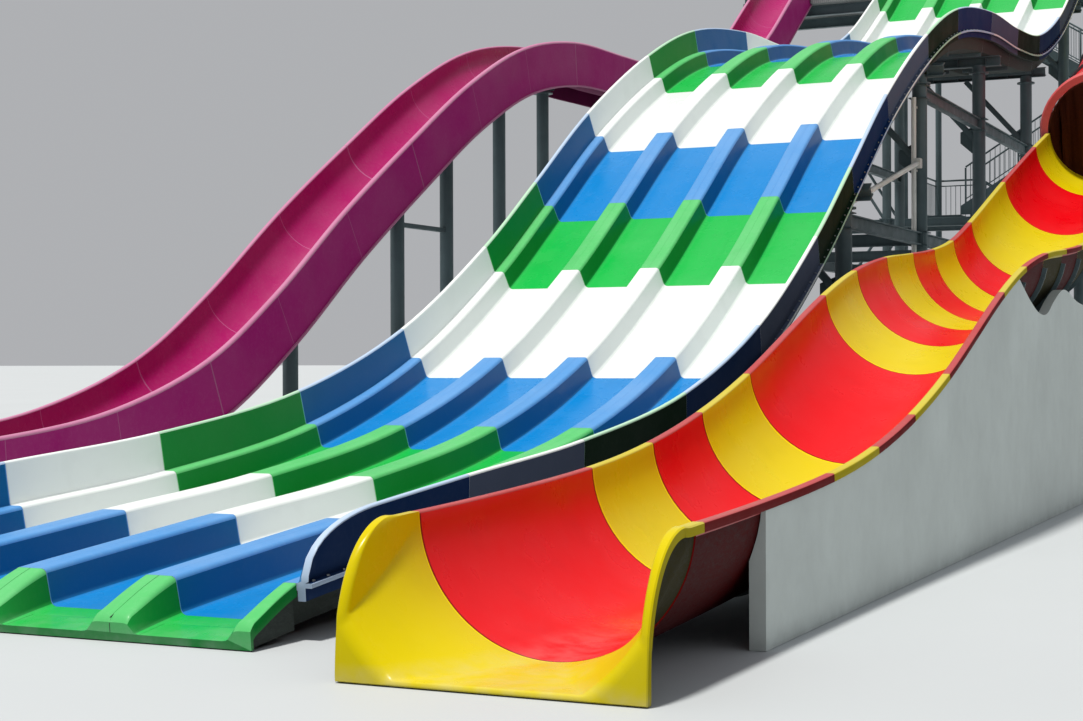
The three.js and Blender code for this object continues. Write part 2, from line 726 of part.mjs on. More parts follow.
// Landings and their legs, at both ends of the flights.
function landings(right) {
  const parts = [];
  const x0 = right ? STAIR.x1 - LANDING : STAIR.x0;
  const x1 = right ? STAIR.x1 : STAIR.x0 + LANDING;
  const legX = right ? STAIR.x1 - 120 : STAIR.x0 + 120;
  const legHigh = right ? 3 * FLIGHT_RISE + RAIL_HEIGHT : legTop;
  for (const y of [STAIR.y0 + 190, STAIR.y1 - 120]) {
    parts.push(column(legX, y, 0, legHigh, 80));
    parts.push(box(legX - 110, legX + 110, y - 110, y + 110, 0, FOOT_PLATE_THICK));
  }
  for (const k of right ? [1, 3] : [2]) {
    const top = k * FLIGHT_RISE;
    const outer = right ? x1 - 40 : x0 + 40;
    const inner = right ? x0 + RAIL / 2 : x1 - RAIL / 2;
    const back = STAIR.y1 - 45;
    parts.push(box(x0, x1, STAIR.y0 + 60, STAIR.y1 - 20, top - DECK_THICK, top));
    for (const z of [top + RAIL_HEIGHT - RAIL / 2, top + RAIL_HEIGHT / 2]) {
      parts.push(bar([outer, STAIR.y0 + 190, z], [outer, back, z], RAIL));
      parts.push(bar([x0, back, z], [x1, back, z], RAIL));
    }
    parts.push(bar([inner, back, top - 20], [inner, back, top + RAIL_HEIGHT], RAIL));
  }
  return toGeometry(union(parts));
}
add('stair_landing_left', landings(false), STEEL, 0.5, 0.4);
add('stair_landings_right', landings(true), STEEL, 0.5, 0.4);

// One flight: treads between two stringers, with a handrail on both sides.
function flight(index) {
  const toRight = index % 2 === 0;
  const lane = toRight ? LANE_FRONT : LANE_BACK;
  const z0 = index * FLIGHT_RISE;
  const start = toRight ? STAIR.x0 + LANDING : STAIR.x1 - LANDING;
  const dir = toRight ? 1 : -1;
  const parts = [];
  for (let i = 0; i < STEPS; i += 1) {
    const a = start + dir * i * STEP_RUN;
    const b = start + dir * (i + 1) * STEP_RUN;
    const z = z0 + (i + 1) * STEP_RISE;
    if (i < STEPS - 1) {
      parts.push(box(Math.min(a, b), Math.max(a, b) + 20, lane.y0 + 20, lane.y1 - 20,
        z - TREAD_THICK, z));
    }
  }
  const lowX = start;
  const highX = start + dir * (FLIGHT_RUN - CLEARANCE);
  for (const y of [lane.y0, lane.y1 - STRINGER.wide]) {
    const low = [lowX, z0 + (index === 0 ? 0 : CLEARANCE)];
    const high = [highX, z0 + FLIGHT_RISE];
    const side = outline([
      [low[0], low[1]],
      [low[0] + dir * 300, low[1]],
      [high[0], high[1] - STRINGER.tall],
      [high[0], high[1]],
      [high[0] - dir * STEP_RUN, high[1]],
      [low[0], low[1] + STEP_RISE + 30],
    ]);
    const plate = new THREE.ExtrudeGeometry(side, { depth: STRINGER.wide, bevelEnabled: false });
    plate.rotateX(Math.PI / 2);
    plate.translate(0, y + STRINGER.wide, 0);
    parts.push(plate);
    const railY = y + STRINGER.wide / 2;
    const slope = FLIGHT_RISE / FLIGHT_RUN;
    const railAt = (x) => z0 + Math.abs(x - start) * slope + STEP_RISE;
    const xa = start + dir * 120;
    const xb = start + dir * (FLIGHT_RUN - 120);
    for (const height of [RAIL_HEIGHT - 200, RAIL_HEIGHT / 2 - 100]) {
      parts.push(bar([xa, railY, railAt(xa) + height], [xb, railY, railAt(xb) + height], 40));
    }
    for (let k = 0; k <= 2; k += 1) {
      const x = xa + ((xb - xa) * k) / 2;
      parts.push(bar([x, railY, railAt(x) - 140], [x, railY, railAt(x) + RAIL_HEIGHT - 200], 40));
    }
  }
  return toGeometry(union(parts));
}
for (let i = 0; i < FLIGHTS; i += 1) {
  add(`stair_flight_${i + 1}`, flight(i), STEEL, 0.5, 0.4);
}

// Railing round the deck, open where the slides start.
const railParts = [];
const railZ = [DECK_TOP + RAIL_HEIGHT - RAIL / 2, DECK_TOP + RAIL_HEIGHT / 2];
const inset = 60;
const cornerPath = [
  [DECK.x0 + inset, DECK.y0 + inset],
  [DECK.x0 + inset, DECK.y1 - inset],
  [STAIR.x0 + inset, DECK.y1 - inset],
  [STAIR.x0 + inset, STAIR.y1 - inset],
  [STAIR.x0 + LANDING - inset, STAIR.y1 - inset],
];
const rightPath = [
  [DECK.x1 - inset, DECK.y0 + inset],
  [DECK.x1 - inset, DECK.y1 - inset],
  [STAIR.x0 + LANDING + inset, DECK.y1 - inset],
];
const foot = DECK_TOP + CLEARANCE;
function railRun(path) {
  const parts = [];
  for (let i = 0; i < path.length - 1; i += 1) {
    const [ax, ay] = path[i];
    const [bx, by] = path[i + 1];
    for (const z of railZ) {
      parts.push(bar([ax, ay, z], [bx, by, z], RAIL));
    }
    const count = Math.max(1, Math.round(Math.hypot(bx - ax, by - ay) / 1500));
    for (let k = 0; k <= count; k += 1) {
      const x = ax + ((bx - ax) * k) / count;
      const y = ay + ((by - ay) * k) / count;
      parts.push(box(x - RAIL / 2, x + RAIL / 2, y - RAIL / 2, y + RAIL / 2, foot,
        DECK_TOP + RAIL_HEIGHT - 5));
    }
  }
  return parts;
}
const front = DECK.y0 + inset;
// Start bars cross over the flume and over the lanes at the height of the handrail.
function startBar(x0, x1) {
  return [bar([x0, front, railZ[0]], [x1, front, railZ[0]], RAIL)];
}
const flumeLeft = FLUME_X - FLUME_HALF - 150;
const flumeRight = FLUME_X + FLUME_HALF + 150;
railParts.push(...railRun(cornerPath));
railParts.push(...railRun([[DECK.x0 + inset, front], [flumeLeft, front]]));
railParts.push(...startBar(flumeLeft, flumeRight));
railParts.push(...railRun([[flumeRight, front], [-150, front]]));
railParts.push(...startBar(-150, LANE_WIDTH + 150));
railParts.push(...railRun([
  [LANE_WIDTH + 150, front], [CHUTE_X - CHUTE_HALF - 150, front],
]));
add('deck_rail_left', toGeometry(union(railParts)), STEEL, 0.5, 0.4);
add('deck_rail_right', toGeometry(union([
  ...railRun(rightPath),
  ...railRun([[DECK.x1 - inset, front], [CHUTE_X + CHUTE_HALF + 150, front]]),
])), STEEL, 0.5, 0.4);

// The origin is the middle of the whole plant's footprint, at water level.
const extent = new THREE.Box3().setFromObject(group);
const middle = extent.getCenter(new THREE.Vector3());
group.position.set(-Math.round(middle.x), -Math.round(middle.y), 0);

export default group;
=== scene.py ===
"""Water slide tower: racing lanes, round chute, open flume, their steelwork and the start tower."""

import math

import bmesh
import bpy
from bmesh.types import BMEdge, BMFace, BMVert
from bpy.props import FloatProperty, FloatVectorProperty, PointerProperty
from mathutils import Matrix, Vector


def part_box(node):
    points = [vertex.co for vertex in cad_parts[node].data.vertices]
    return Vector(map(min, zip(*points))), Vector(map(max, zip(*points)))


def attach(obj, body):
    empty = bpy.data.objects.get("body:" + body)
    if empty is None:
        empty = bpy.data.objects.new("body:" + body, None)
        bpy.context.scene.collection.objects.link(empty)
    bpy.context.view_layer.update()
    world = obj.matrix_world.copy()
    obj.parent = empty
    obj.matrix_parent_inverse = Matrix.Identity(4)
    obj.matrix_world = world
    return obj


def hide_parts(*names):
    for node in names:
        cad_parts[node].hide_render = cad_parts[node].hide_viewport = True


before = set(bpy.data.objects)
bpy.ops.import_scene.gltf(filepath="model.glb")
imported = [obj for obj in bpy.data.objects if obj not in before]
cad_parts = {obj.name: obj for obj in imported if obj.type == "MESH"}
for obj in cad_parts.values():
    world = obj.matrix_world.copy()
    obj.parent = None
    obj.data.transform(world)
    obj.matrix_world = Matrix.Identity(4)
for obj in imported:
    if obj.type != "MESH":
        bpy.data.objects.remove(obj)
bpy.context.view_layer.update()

bl_info = {
    "name": "Water slide tower",
    "version": (1, 0, 0),
    "blender": (4, 5, 0),
    "location": "View3D > Sidebar > Slides",
    "description": "Builds a slide tower with racing lanes, a round chute and an open flume",
    "category": "Object",
}

# The plant is measured from the left edge of the lanes and the deck's front edge, and the
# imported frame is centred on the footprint.
DECK_LOW, DECK_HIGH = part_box("tower_deck")
DECK_LEFT, DECK_FRONT = -4.6, 22.81
SHIFT = Vector((DECK_LOW.x - DECK_LEFT, DECK_LOW.y - DECK_FRONT, 0.0))
BODY = "root"

LANE_JOINTS = [
    (-11.25, 0.05), (-10.75, 0.1), (-8.65, 0.28), (-6.65, 0.44), (-4.3, 0.78), (-2.1, 1.45),
    (0, 2.5), (1.45, 3.41), (3.1, 4.47), (5.25, 5.55), (7.1, 6.2), (9.5, 6.56), (11.7, 6.65),
    (13.85, 6.88), (16.1, 7.6), (18.3, 8.75), (20.3, 9.85), (22.87, 10.33),
]
CHUTE_JOINTS = [
    (-11.9, 0.82), (-11.1, 0.82), (-8.7, 0.93), (-7.6, 1.05), (-6.55, 1.24), (-5.4, 1.53),
    (-3.15, 2.25), (-2.05, 2.53), (-0.85, 2.72), (0.3, 2.82), (1.35, 2.92), (2.35, 3.08),
    (3.4, 3.37), (5.6, 4.07), (8, 4.8), (9.2, 5.14),
]
TUBE_JOINTS = [(8, 4.8), (9.2, 5.14), (12.4, 6.45), (15.8, 8.1), (19.2, 9.75), (22.8, 11.1)]
FLUME_POINTS = [
    (-7.2, 0.82), (-5.4, 0.89), (-3.6, 1.12), (-1.85, 1.66), (-0.4, 2.48), (1.3, 3.66),
    (3.1, 4.78), (5, 5.88), (6.9, 6.7), (8.9, 7.11), (11.1, 7.2), (13.3, 7.26), (15.5, 7.42),
    (17.6, 7.88), (19.6, 8.85), (21.3, 9.98), (22.8, 10.98),
]
FLUME_SPLITS = [0, 3, 6, 9, 12, 16]

LANE_COUNT = 4
LANE_SHELL = 0.045
RIDGE_HEIGHT = 0.24
RIDGE_HALF_TOP = 0.12
RIDGE_HALF_FOOT = 0.15
SIDE_LEAN = 0.025
SIDE_THICK = 0.05
SIDE_FLANGE = 0.03
SIDE_FLANGE_REACH = 0.045
SIDE_LIP = 0.11
SIDE_END_CURVE = 0.95
NOSE_FRONT = 0.095  # height of the ridges' blunt ends at the water
NOSE_INSET = 0.01  # how far the outer faces stand in from the lanes' edges
NOSE_LIP = 0.08
NOSE_RECESS = 0.03
NOSE_BLUNT = 0.055  # share of the nose whose outer faces are closed down to the floor
NOSE_EDGE = 0.12  # share of the nose over which the top rounds down, and by how much
NOSE_EDGE_DROP = 0.03
NOSE_FLARE = 0.03  # how far the feet of the blunt ends spread

CHUTE_X = 5.8
CHUTE_HALF = 0.8
CHUTE_DEPTH = 0.78
CHUTE_SHELL = 0.02
EXIT_HALF = 0.95  # radius that the round section widens to at the low end
EXIT_FLARE = 0.012  # how far the flat sides turn outward there
EXIT_FLOOR = 0.785
EXIT_FRONT = 0.815  # depth of the flat front
EXIT_BEND = 0.06  # radius of the soft bend from the inside to the flat front
EXIT_BEND_RIM = 0.01  # its radius up at the rim, and the depth at which it is full
EXIT_BEND_DEPTH = 0.35
EXIT_ROUND = 0.52  # how far the upper corners are rounded back
EXIT_ROUND_DOWN = 0.68
EXIT_SHELL = 0.012
EXIT_EASE = 0.008  # how far the rim's edge is rounded there
TUBE_START = 0.0015 / 6.6  # shares of a tube's length that stay free at its ends
TUBE_TRIM = 0.0002

FLUME_X = -3.5
FLUME_HALF = 0.5
FLUME_DEPTH = 0.62
FLUME_SHELL = 0.04
FLUME_RIM = 0.075
FLUME_SKIRT = 0.775
FLUME_SKIRT_THICK = 0.03
FLUME_SKIRT_FLANGE = 0.025

WALL_FACE = 6.65
WALL_START = -10.05
WALL_RIM_END = -2.44
WALL_SECTION = (  # how far in from the outer face, and how far below the rim, the top lies
    (0.0, 0.022), (0.006, 0.016), (0.024, 0.016), (0.032, 0.11), (0.05, 0.2), (0.075, 0.28),
    (0.1, 0.35),
)
WALL_TOP = [
    (-2.44, 2.43), (-1.78, 2.21), (-1.3, 2.1), (-0.85, 2.1), (-0.39, 2.25), (0.19, 2.38),
    (1.15, 2.27), (3.2, 2.2),
]

TRESTLES = (-6.2, -1.7, 2.1, 6.1, 10.2, 14.4, 18.6)
TRESTLE_INSET = 0.3
TRESTLE_X = (TRESTLE_INSET, LANE_COUNT - TRESTLE_INSET)
TRESTLE_TIES = ((3.35, 2.1), (5.45, 6.1))  # height of each row of ties, and where it starts
TALL_FROM = 2.5  # lane height from which a trestle has knee braces and column collars
CROSS_FROM = 5.0  # lane height from which a beam joins its two columns
HEAD_HALF = 0.08  # the trestle's head beam: half its width and height
HEAD_OVERHANG = 0.05
HEAD_STIFFENERS = 9
KNEE_DROP = 1.3
KNEE_REACH = 1.1
KNEE_SIZE = 0.09
KNEE_PLATE = ((0, -0.25), (0.3, 0.02), (0.3, 0.2), (0, 0.32))
FLUME_POSTS = (-2.6, 0.8, 3.7, 5.25, 7.1, 8.8, 12.6, 16.2, 19.6)
CHUTE_POSTS = (-4.6, -1.9, 0.3, 3.4, 7.0, 11.0, 15.0, 19.0)
POST_RAIL_Z = 0.45
FLUME_SADDLE = 0.38  # half the width of each cradle plate
CHUTE_SADDLE = 0.52
FLUME_BRACE = (3.7, 5.25, 3.65)  # the bar between two posts: its ends and its height
PIPES_Y = (5.95, 6.25)
PIPE_RADIUS = 0.036
PIPE_OFF = 0.05
PIPE_FOOT, PIPE_TOP = 1.7, 5.36
PIPE_CLIPS = (1.9, 3.1, 4.3, 5.2)
STRUT_LOW, STRUT_HIGH = (2.1, 3.52), (5.95, 4.42)  # y and z at the ends of the pale struts

BEAM_WEB = 0.014
BEAM_FLANGE = 0.018
TIE_BEAM = (0.11, 0.18)  # width and height of the rolled beams
TOWER_BEAM = (0.12, 0.2)
DECK_BEAM = (0.14, 0.238)
END_PLATE = 0.012
GUSSET = 0.014  # thickness of gusset and cradle plates
COLUMN_FOOT = 0.02
COLUMN_SIDES = 28
FOOT_HALF = 0.21  # base plates under the columns
FOOT_THICK = 0.025
ANCHOR_OUT = 0.1554
ANCHOR_NUT = (0.02, 0.022)  # radius and height of each kind of bolt
ANCHOR_STUD = (0.01, 0.045)
SMALL_BOLT = (0.011, 0.01)
FLANGE_BOLT = (0.012, 0.01)
FIN_RISE = 0.11
LANE_FLANGE = 0.06  # how far the joint flanges hang down, and the lane height they start at
LANE_FLANGE_FROM = 0.6
RING_PROUD = 0.05
JOINT_GAP = 0.002  # from a joint to each of its two bolted flanges
JOINT_PLATE = 0.01
REST_GAP = 0.0005  # between a piece and what it rests on
BUTT_GAP = 0.0006  # between the end of a beam and the column it meets
STEP_GAP = 0.0003  # between a flight and the landing or ground it meets

DECK_TOP = 10.3
DECK_THICK = 0.12
STAIR_X0, STAIR_X1 = -1.0, 5.45
STAIR_Y0, STAIR_Y1 = 25.0, 27.6
LANDING = 1.2
FLIGHTS = 4
STEPS = 14
TOWER_LEGS_X = (-4.3, -1.15, 5.6, 7.0)
TOWER_LEGS_Y = (23.2, 24.85)
TOWER_MIDDLE = 4.85
LEG_TOP = DECK_TOP - DECK_THICK - REST_GAP
BRACE_RADIUS = 0.035
LANDING_LEG = 0.078
LANDING_PLATE = 0.012
LANDING_EDGE = (0.06, 0.108)  # width and height of the flat bars round a landing
FLIGHT_WIDE = 1.15
FLIGHT_INSET = 0.08  # from the stair's outer edge to a flight
STRINGER = 0.05
TREAD = 0.038
POST_SPACING = 1.5  # between the posts of a guard
HANDRAIL = 0.024
GUARD_BAR = 0.015
BALUSTER = 0.008
LOW_BAR = 0.12  # heights in a guard: its lower bar, and the upper bar below the top
HIGH_BAR = 0.16

SEAM = 0.003

CAMERA_AT = (9.89, -19.99, 1.66)
CAMERA_YAW = 25.0
CAMERA_PITCH = -0.06
CAMERA_ROLL = -0.18


# Lines and meshes.


class SlideLine:
    """A smooth line in the Y-Z plane through joints, the same one that the solids follow."""

    def __init__(self, joints):
        self.joints = [Vector(joint) for joint in joints]
        self.spans = len(joints) - 1

    def point(self, t):
        """The place at a parameter from 0 to 1, as y and z."""
        place = min(max(t, 0.0), 1.0) * self.spans
        index = min(int(place), self.spans - 1)
        weight = place - index
        p1, p2 = self.joints[index], self.joints[index + 1]
        p0 = self.joints[index - 1] if index > 0 else 2 * p1 - p2
        p3 = self.joints[index + 2] if index + 2 <= self.spans else 2 * p2 - p1
        d0, d1, d2 = (math.sqrt((b - a).length) for a, b in ((p0, p1), (p1, p2), (p2, p3)))
        m1 = ((p1 - p0) / d0 - (p2 - p0) / (d0 + d1) + (p2 - p1) / d1) * d1
        m2 = ((p2 - p1) / d1 - (p3 - p1) / (d1 + d2) + (p3 - p2) / d2) * d1
        w2, w3 = weight * weight, weight**3
        return (
            p1 + m1 * weight
            + (3 * (p2 - p1) - 2 * m1 - m2) * w2
            + (2 * (p1 - p2) + m1 + m2) * w3
        )

    def angle(self, t):
        run = self.point(t + 1e-4) - self.point(t - 1e-4)
        return math.atan2(run.y, run.x)

    def frame(self, t):
        """Section frame: x across, y along the line, z square to it."""
        p = self.point(t)
        return Matrix.Translation(SHIFT + Vector((0, p.x, p.y))) @ Matrix.Rotation(
            self.angle(t), 4, "X"
        )

    def at(self, y):
        """The line's parameter, height and slope where it passes y."""
        low, high = 0.0, 1.0
        for _ in range(40):
            middle = (low + high) / 2
            if self.point(middle).x < y:
                low = middle
            else:
                high = middle
        return low, self.point(low).y, self.angle(low)

    def length(self, t0, t1):
        """How long the line is between two parameters."""
        pieces = 24
        points = [self.point(t0 + (t1 - t0) * i / pieces) for i in range(pieces + 1)]
        return sum((b - a).length for a, b in zip(points, points[1:]))

    def spaced(self, t0, t1, step):
        """Parameters at even distances along the line."""
        count = max(1, round(self.length(t0, t1) / step))
        return [t0 + (t1 - t0) * (i + 0.5) / count for i in range(count)]


LANES = SlideLine(LANE_JOINTS)
CHUTE = SlideLine(CHUTE_JOINTS)
TUBE = SlideLine(TUBE_JOINTS)
FLUME = SlideLine(FLUME_POINTS)


def finish_piece(name, bm, materials, replaced=(), sharp=32.0):
    """Turns a bmesh into a piece of the object that rides on the plant."""
    bmesh.ops.remove_doubles(bm, verts=bm.verts, dist=1e-5)
    bmesh.ops.recalc_face_normals(bm, faces=bm.faces)
    mesh = bpy.data.meshes.new(name)
    bm.to_mesh(mesh)
    bm.free()
    for face in mesh.polygons:
        face.use_smooth = True
    mesh.set_sharp_from_angle(angle=math.radians(sharp))
    for material in materials:
        mesh.materials.append(material)
    piece = bpy.data.objects.new(name, mesh)
    bpy.context.scene.collection.objects.link(piece)
    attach(piece, BODY)
    if replaced:
        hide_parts(*replaced)
    return piece


def made_of(result, kind):
    """The vertices, edges or faces in what a bmesh operator made."""
    return [item for item in result["geom"] if isinstance(item, kind)]


def round_off(bm, geom, offset, affect, segments):
    """Rounds edges or corners."""
    bmesh.ops.bevel(
        bm, geom=geom, offset=offset, offset_type="OFFSET", affect=affect, segments=segments,
        profile=0.5, material=-1,
    )


def mirrored(corners, middle):
    """The other half of a symmetric outline, which runs on from this one."""
    return [(2 * middle - x, h, r) for x, h, r in reversed(corners)]


def rounded_outline(bm, corners):
    """One face in the x-z plane, with each corner rounded by its own radius."""
    radius = bm.verts.layers.float.new("radius")
    verts = []
    for x, h, r in corners:
        vert = bm.verts.new((x, 0.0, h))
        vert[radius] = r
        verts.append(vert)
    bm.faces.new(verts)
    for r in sorted({corner[2] for corner in corners if corner[2] > 0}):
        sharp = [vert for vert in bm.verts if abs(vert[radius] - r) < 1e-6]
        round_off(bm, sharp, r, "VERTICES", 3 if r < 0.02 else 5)
        for vert in bm.verts:
            if abs(vert[radius] - r) < 1e-6:
                vert[radius] = 0.0
    bm.faces.ensure_lookup_table()
    return bm.faces[0]


def moulding(corners, line, t0, t1, steps, shaper=None, strip=0.009, seams=()):
    """Sweeps a closed outline of (x, height, corner radius) along a line.

    Narrow bands are set off at both ends and at each seam, so that they can be
    given a finish of their own.
    """
    bm = bmesh.new()
    face = rounded_outline(bm, corners)
    across = bm.verts.layers.float.new("across")
    height = bm.verts.layers.float.new("height")
    share = bm.verts.layers.float.new("share")
    for vert in bm.verts:
        vert[across], vert[height], vert[share] = vert.co.x, vert.co.z, 0.0
    reach = line.length(t0, t1)
    trim = SEAM / 2 / reach * (t1 - t0)
    low, high = t0 + trim, t1 - trim
    shares = [i / steps for i in range(steps + 1)]
    half = strip / reach / 2
    for seam in seams:
        shares = [s for s in shares if abs(s - seam) > half] + [seam - half, seam + half]
    shares = sorted(shares + [2 * half, 1 - 2 * half])
    before = line.frame(low)
    bmesh.ops.transform(bm, matrix=before, verts=face.verts)
    for s in shares[1:]:
        after = line.frame(low + (high - low) * s)
        made = bmesh.ops.extrude_face_region(bm, geom=[face])
        new = made_of(made, BMVert)
        bmesh.ops.transform(bm, matrix=after @ before.inverted(), verts=new)
        for vert in new:
            vert[share] = s
        if s > shares[1]:
            bmesh.ops.delete(bm, geom=[face], context="FACES_ONLY")
        face = made_of(made, BMFace)[0]
        before = after
    if shaper:
        for vert in bm.verts:
            x, h, back = shaper(vert[across], vert[height], vert[share])
            station = line.frame(low + (high - low) * vert[share])
            vert.co = station @ Vector((x, back, h))
    bmesh.ops.triangulate(bm, faces=[f for f in bm.faces if len(f.verts) > 4])
    return bm


def paint(bm, chooser):
    """Sets each face's material by the mean of its section coordinates."""
    across = bm.verts.layers.float["across"]
    height = bm.verts.layers.float["height"]
    share = bm.verts.layers.float["share"]
    for face in bm.faces:
        count = len(face.verts)
        x = sum(v[across] for v in face.verts) / count
        h = sum(v[height] for v in face.verts) / count
        s = [v[share] for v in face.verts]
        face.material_index = chooser(x, h, (min(s), max(s)))


def add_box(bm, low, high, matrix=None, bevel=0.0):
    """A box between two corners, with its edges eased."""
    low, high = Vector(low), Vector(high)
    place = Matrix.Translation((low + high) / 2) @ Matrix.Diagonal((*(high - low), 1.0))
    if matrix is not None:
        place = matrix @ place
    made = bmesh.ops.create_cube(bm, size=1.0, matrix=place)
    if bevel:
        edges = list({edge for vert in made["verts"] for edge in vert.link_edges})
        round_off(bm, edges, bevel, "EDGES", 2)


def add_pad(bm, x, y, z, half, thick, bevel=0.0):
    """A square plate that lies flat, with its underside at z."""
    add_box(bm, (x - half, y - half, z), (x + half, y + half, z + thick), None, bevel)


def add_round(bm, a, b, radius, segments=20):
    """A round bar from a to b, both in the plant's coordinates."""
    a, b = Vector(a), Vector(b)
    run = b - a
    place = Matrix.Translation((a + b) / 2) @ run.to_track_quat("Z", "Y").to_matrix().to_4x4()
    bmesh.ops.create_cone(
        bm, cap_ends=True, segments=segments, radius1=radius, radius2=radius, depth=run.length,
        matrix=place,
    )


def bar_frame(a, b):
    """A frame at a whose y runs to b and whose z stays as upright as it can."""
    a, b = Vector(a), Vector(b)
    forward = (b - a).normalized()
    side = forward.cross(Vector((0, 0, 1)))
    side = Vector((1, 0, 0)) if side.length < 1e-4 else side.normalized()
    up = side.cross(forward)
    basis = Matrix((side, forward, up)).transposed().to_4x4()
    return Matrix.Translation(a) @ basis, (b - a).length


def add_flat(bm, a, b, wide, tall, bevel=0.004):
    """A rectangular bar between two points."""
    matrix, length = bar_frame(a, b)
    add_box(bm, (-wide / 2, 0, -tall / 2), (wide / 2, length, tall / 2), matrix, bevel)


def add_beam(bm, a, b, size):
    """A rolled I beam between two points."""
    matrix, length = bar_frame(a, b)
    half, rise, web = size[0] / 2, size[1] / 2, BEAM_WEB / 2
    inside = rise - BEAM_FLANGE
    add_box(bm, (-half, 0, inside), (half, length, rise), matrix, 0.003)
    add_box(bm, (-half, 0, -rise), (half, length, -inside), matrix, 0.003)
    add_box(bm, (-web, 0, -inside), (web, length, inside), matrix)


def add_end_plate(bm, x, y, low, high, half):
    """The upright plate that joins the end of a beam to a column."""
    add_box(bm, (x - half, y, low), (x + half, y + END_PLATE, high), None, 0.002)


def add_bolt(bm, matrix, radius, height):
    """A hexagon head standing on a face whose normal is the matrix's z."""
    place = matrix @ Matrix.Translation((0, 0, height / 2))
    bmesh.ops.create_cone(
        bm, cap_ends=True, segments=6, radius1=radius, radius2=radius * 0.92, depth=height,
        matrix=place,
    )


def add_foot(bm, x, y, radius):
    """A base plate with four anchor bolts and stiffening fins."""
    add_pad(bm, x, y, 0, FOOT_HALF, FOOT_THICK, 0.003)
    for dx in (-ANCHOR_OUT, ANCHOR_OUT):
        for dy in (-ANCHOR_OUT, ANCHOR_OUT):
            spot = Vector((x + dx, y + dy, FOOT_THICK))
            add_bolt(bm, Matrix.Translation(spot), *ANCHOR_NUT)
            add_round(bm, spot, spot + Vector((0, 0, ANCHOR_STUD[1])), ANCHOR_STUD[0], 10)
    inner, outer = radius * 0.98, radius * 0.98 + FOOT_HALF * 0.9 - radius
    fin = [(inner, 0), (outer, 0), (outer, FIN_RISE * 0.15), (inner, FIN_RISE)]
    for turn in range(4):
        place = Matrix.Translation((x, y, FOOT_THICK))
        add_plate(bm, fin, place @ Matrix.Rotation(turn * math.pi / 2, 4, "Z"), 0.01)


def add_column(bm, x, y, top, radius):
    """A round column on its base plate."""
    add_foot(bm, x, y, radius)
    add_round(bm, (x, y, COLUMN_FOOT), (x, y, top), radius, COLUMN_SIDES)


def add_plate(bm, corners, matrix, thick):
    """A plate cut to an outline in the matrix's x-z plane."""
    verts = [bm.verts.new(matrix @ Vector((x, -thick / 2, z))) for x, z in corners]
    face = bm.faces.new(verts)
    made = bmesh.ops.extrude_face_region(bm, geom=[face])
    across = matrix.to_3x3() @ Vector((0, thick, 0))
    bmesh.ops.translate(bm, vec=across, verts=made_of(made, BMVert))


def shift_all(bm):
    """Moves a whole bmesh from the plant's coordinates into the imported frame."""
    bmesh.ops.translate(bm, vec=SHIFT, verts=bm.verts)


def finish_steel(name, bm, node):
    """Turns steelwork in the plant's coordinates into the piece that dresses a node."""
    shift_all(bm)
    finish_piece(name, bm, [steel()], [node])


# Materials.


def linear(colour):
    """sRGB numbers from 0 to 255 as a linear colour."""
    out = []
    for value in colour:
        c = value / 255
        out.append(c / 12.92 if c <= 0.04045 else ((c + 0.055) / 1.055) ** 2.4)
    return (*out, 1.0)


class Nodes:
    """Short calls for building a material's nodes."""

    def __init__(self, name):
        self.material = bpy.data.materials.new(name)
        self.material.use_nodes = True
        self.tree = self.material.node_tree
        self.shader = self.tree.nodes["Principled BSDF"]
        self.coordinates = self.add("ShaderNodeTexCoord").outputs["Object"]

    def add(self, kind, **values):
        node = self.tree.nodes.new(kind)
        for key, value in values.items():
            setattr(node, key, value)
        return node

    def link(self, source, target):
        self.tree.links.new(source, target)

    def stretch(self, scale, turn=(0, 0, 0)):
        node = self.add("ShaderNodeMapping")
        node.inputs["Scale"].default_value = scale
        node.inputs["Rotation"].default_value = turn
        self.link(self.coordinates, node.inputs["Vector"])
        return node.outputs["Vector"]

    def noise(self, scale, detail=4.0, rough=0.55, vector=None, distortion=0.0):
        node = self.add("ShaderNodeTexNoise")
        node.inputs["Scale"].default_value = scale
        node.inputs["Detail"].default_value = detail
        node.inputs["Roughness"].default_value = rough
        node.inputs["Distortion"].default_value = distortion
        self.link(vector or self.coordinates, node.inputs["Vector"])
        return node.outputs["Fac"]

    def ramp(self, value, low, high, to_low=0.0, to_high=1.0):
        node = self.add("ShaderNodeMapRange")
        node.inputs["From Min"].default_value = low
        node.inputs["From Max"].default_value = high
        node.inputs["To Min"].default_value = to_low
        node.inputs["To Max"].default_value = to_high
        self.link(value, node.inputs["Value"])
        return node.outputs["Result"]

    def times(self, a, b):
        node = self.add("ShaderNodeMath", operation="MULTIPLY")
        self.link(a, node.inputs[0])
        if isinstance(b, float):
            node.inputs[1].default_value = b
        else:
            self.link(b, node.inputs[1])
        return node.outputs[0]

    def mix(self, factor, a, b, blend="MIX"):
        node = self.add("ShaderNodeMix", data_type="RGBA", blend_type=blend)
        self.link(factor, node.inputs["Factor"])
        for socket, colour in ((node.inputs[6], a), (node.inputs[7], b)):
            if isinstance(colour, tuple):
                socket.default_value = colour
            else:
                self.link(colour, socket)
        return node.outputs[2]

    def height(self):
        node = self.add("ShaderNodeSeparateXYZ")
        self.link(self.coordinates, node.inputs[0])
        return node.outputs["Z"]

    def bump(self, heights, distance, strength=1.0):
        node = self.add("ShaderNodeBump")
        node.inputs["Distance"].default_value = distance
        node.inputs["Strength"].default_value = strength
        self.link(heights, node.inputs["Height"])
        self.link(node.outputs["Normal"], self.shader.inputs["Normal"])

    def colour(self, source):
        self.link(source, self.shader.inputs["Base Color"])

    def roughness(self, source):
        self.link(source, self.shader.inputs["Roughness"])


CHALK = (0.84, 0.88, 0.88)


def shade(colour, factor):
    """The same linear colour, lighter or darker."""
    return (colour[0] * factor, colour[1] * factor, colour[2] * factor, 1.0)


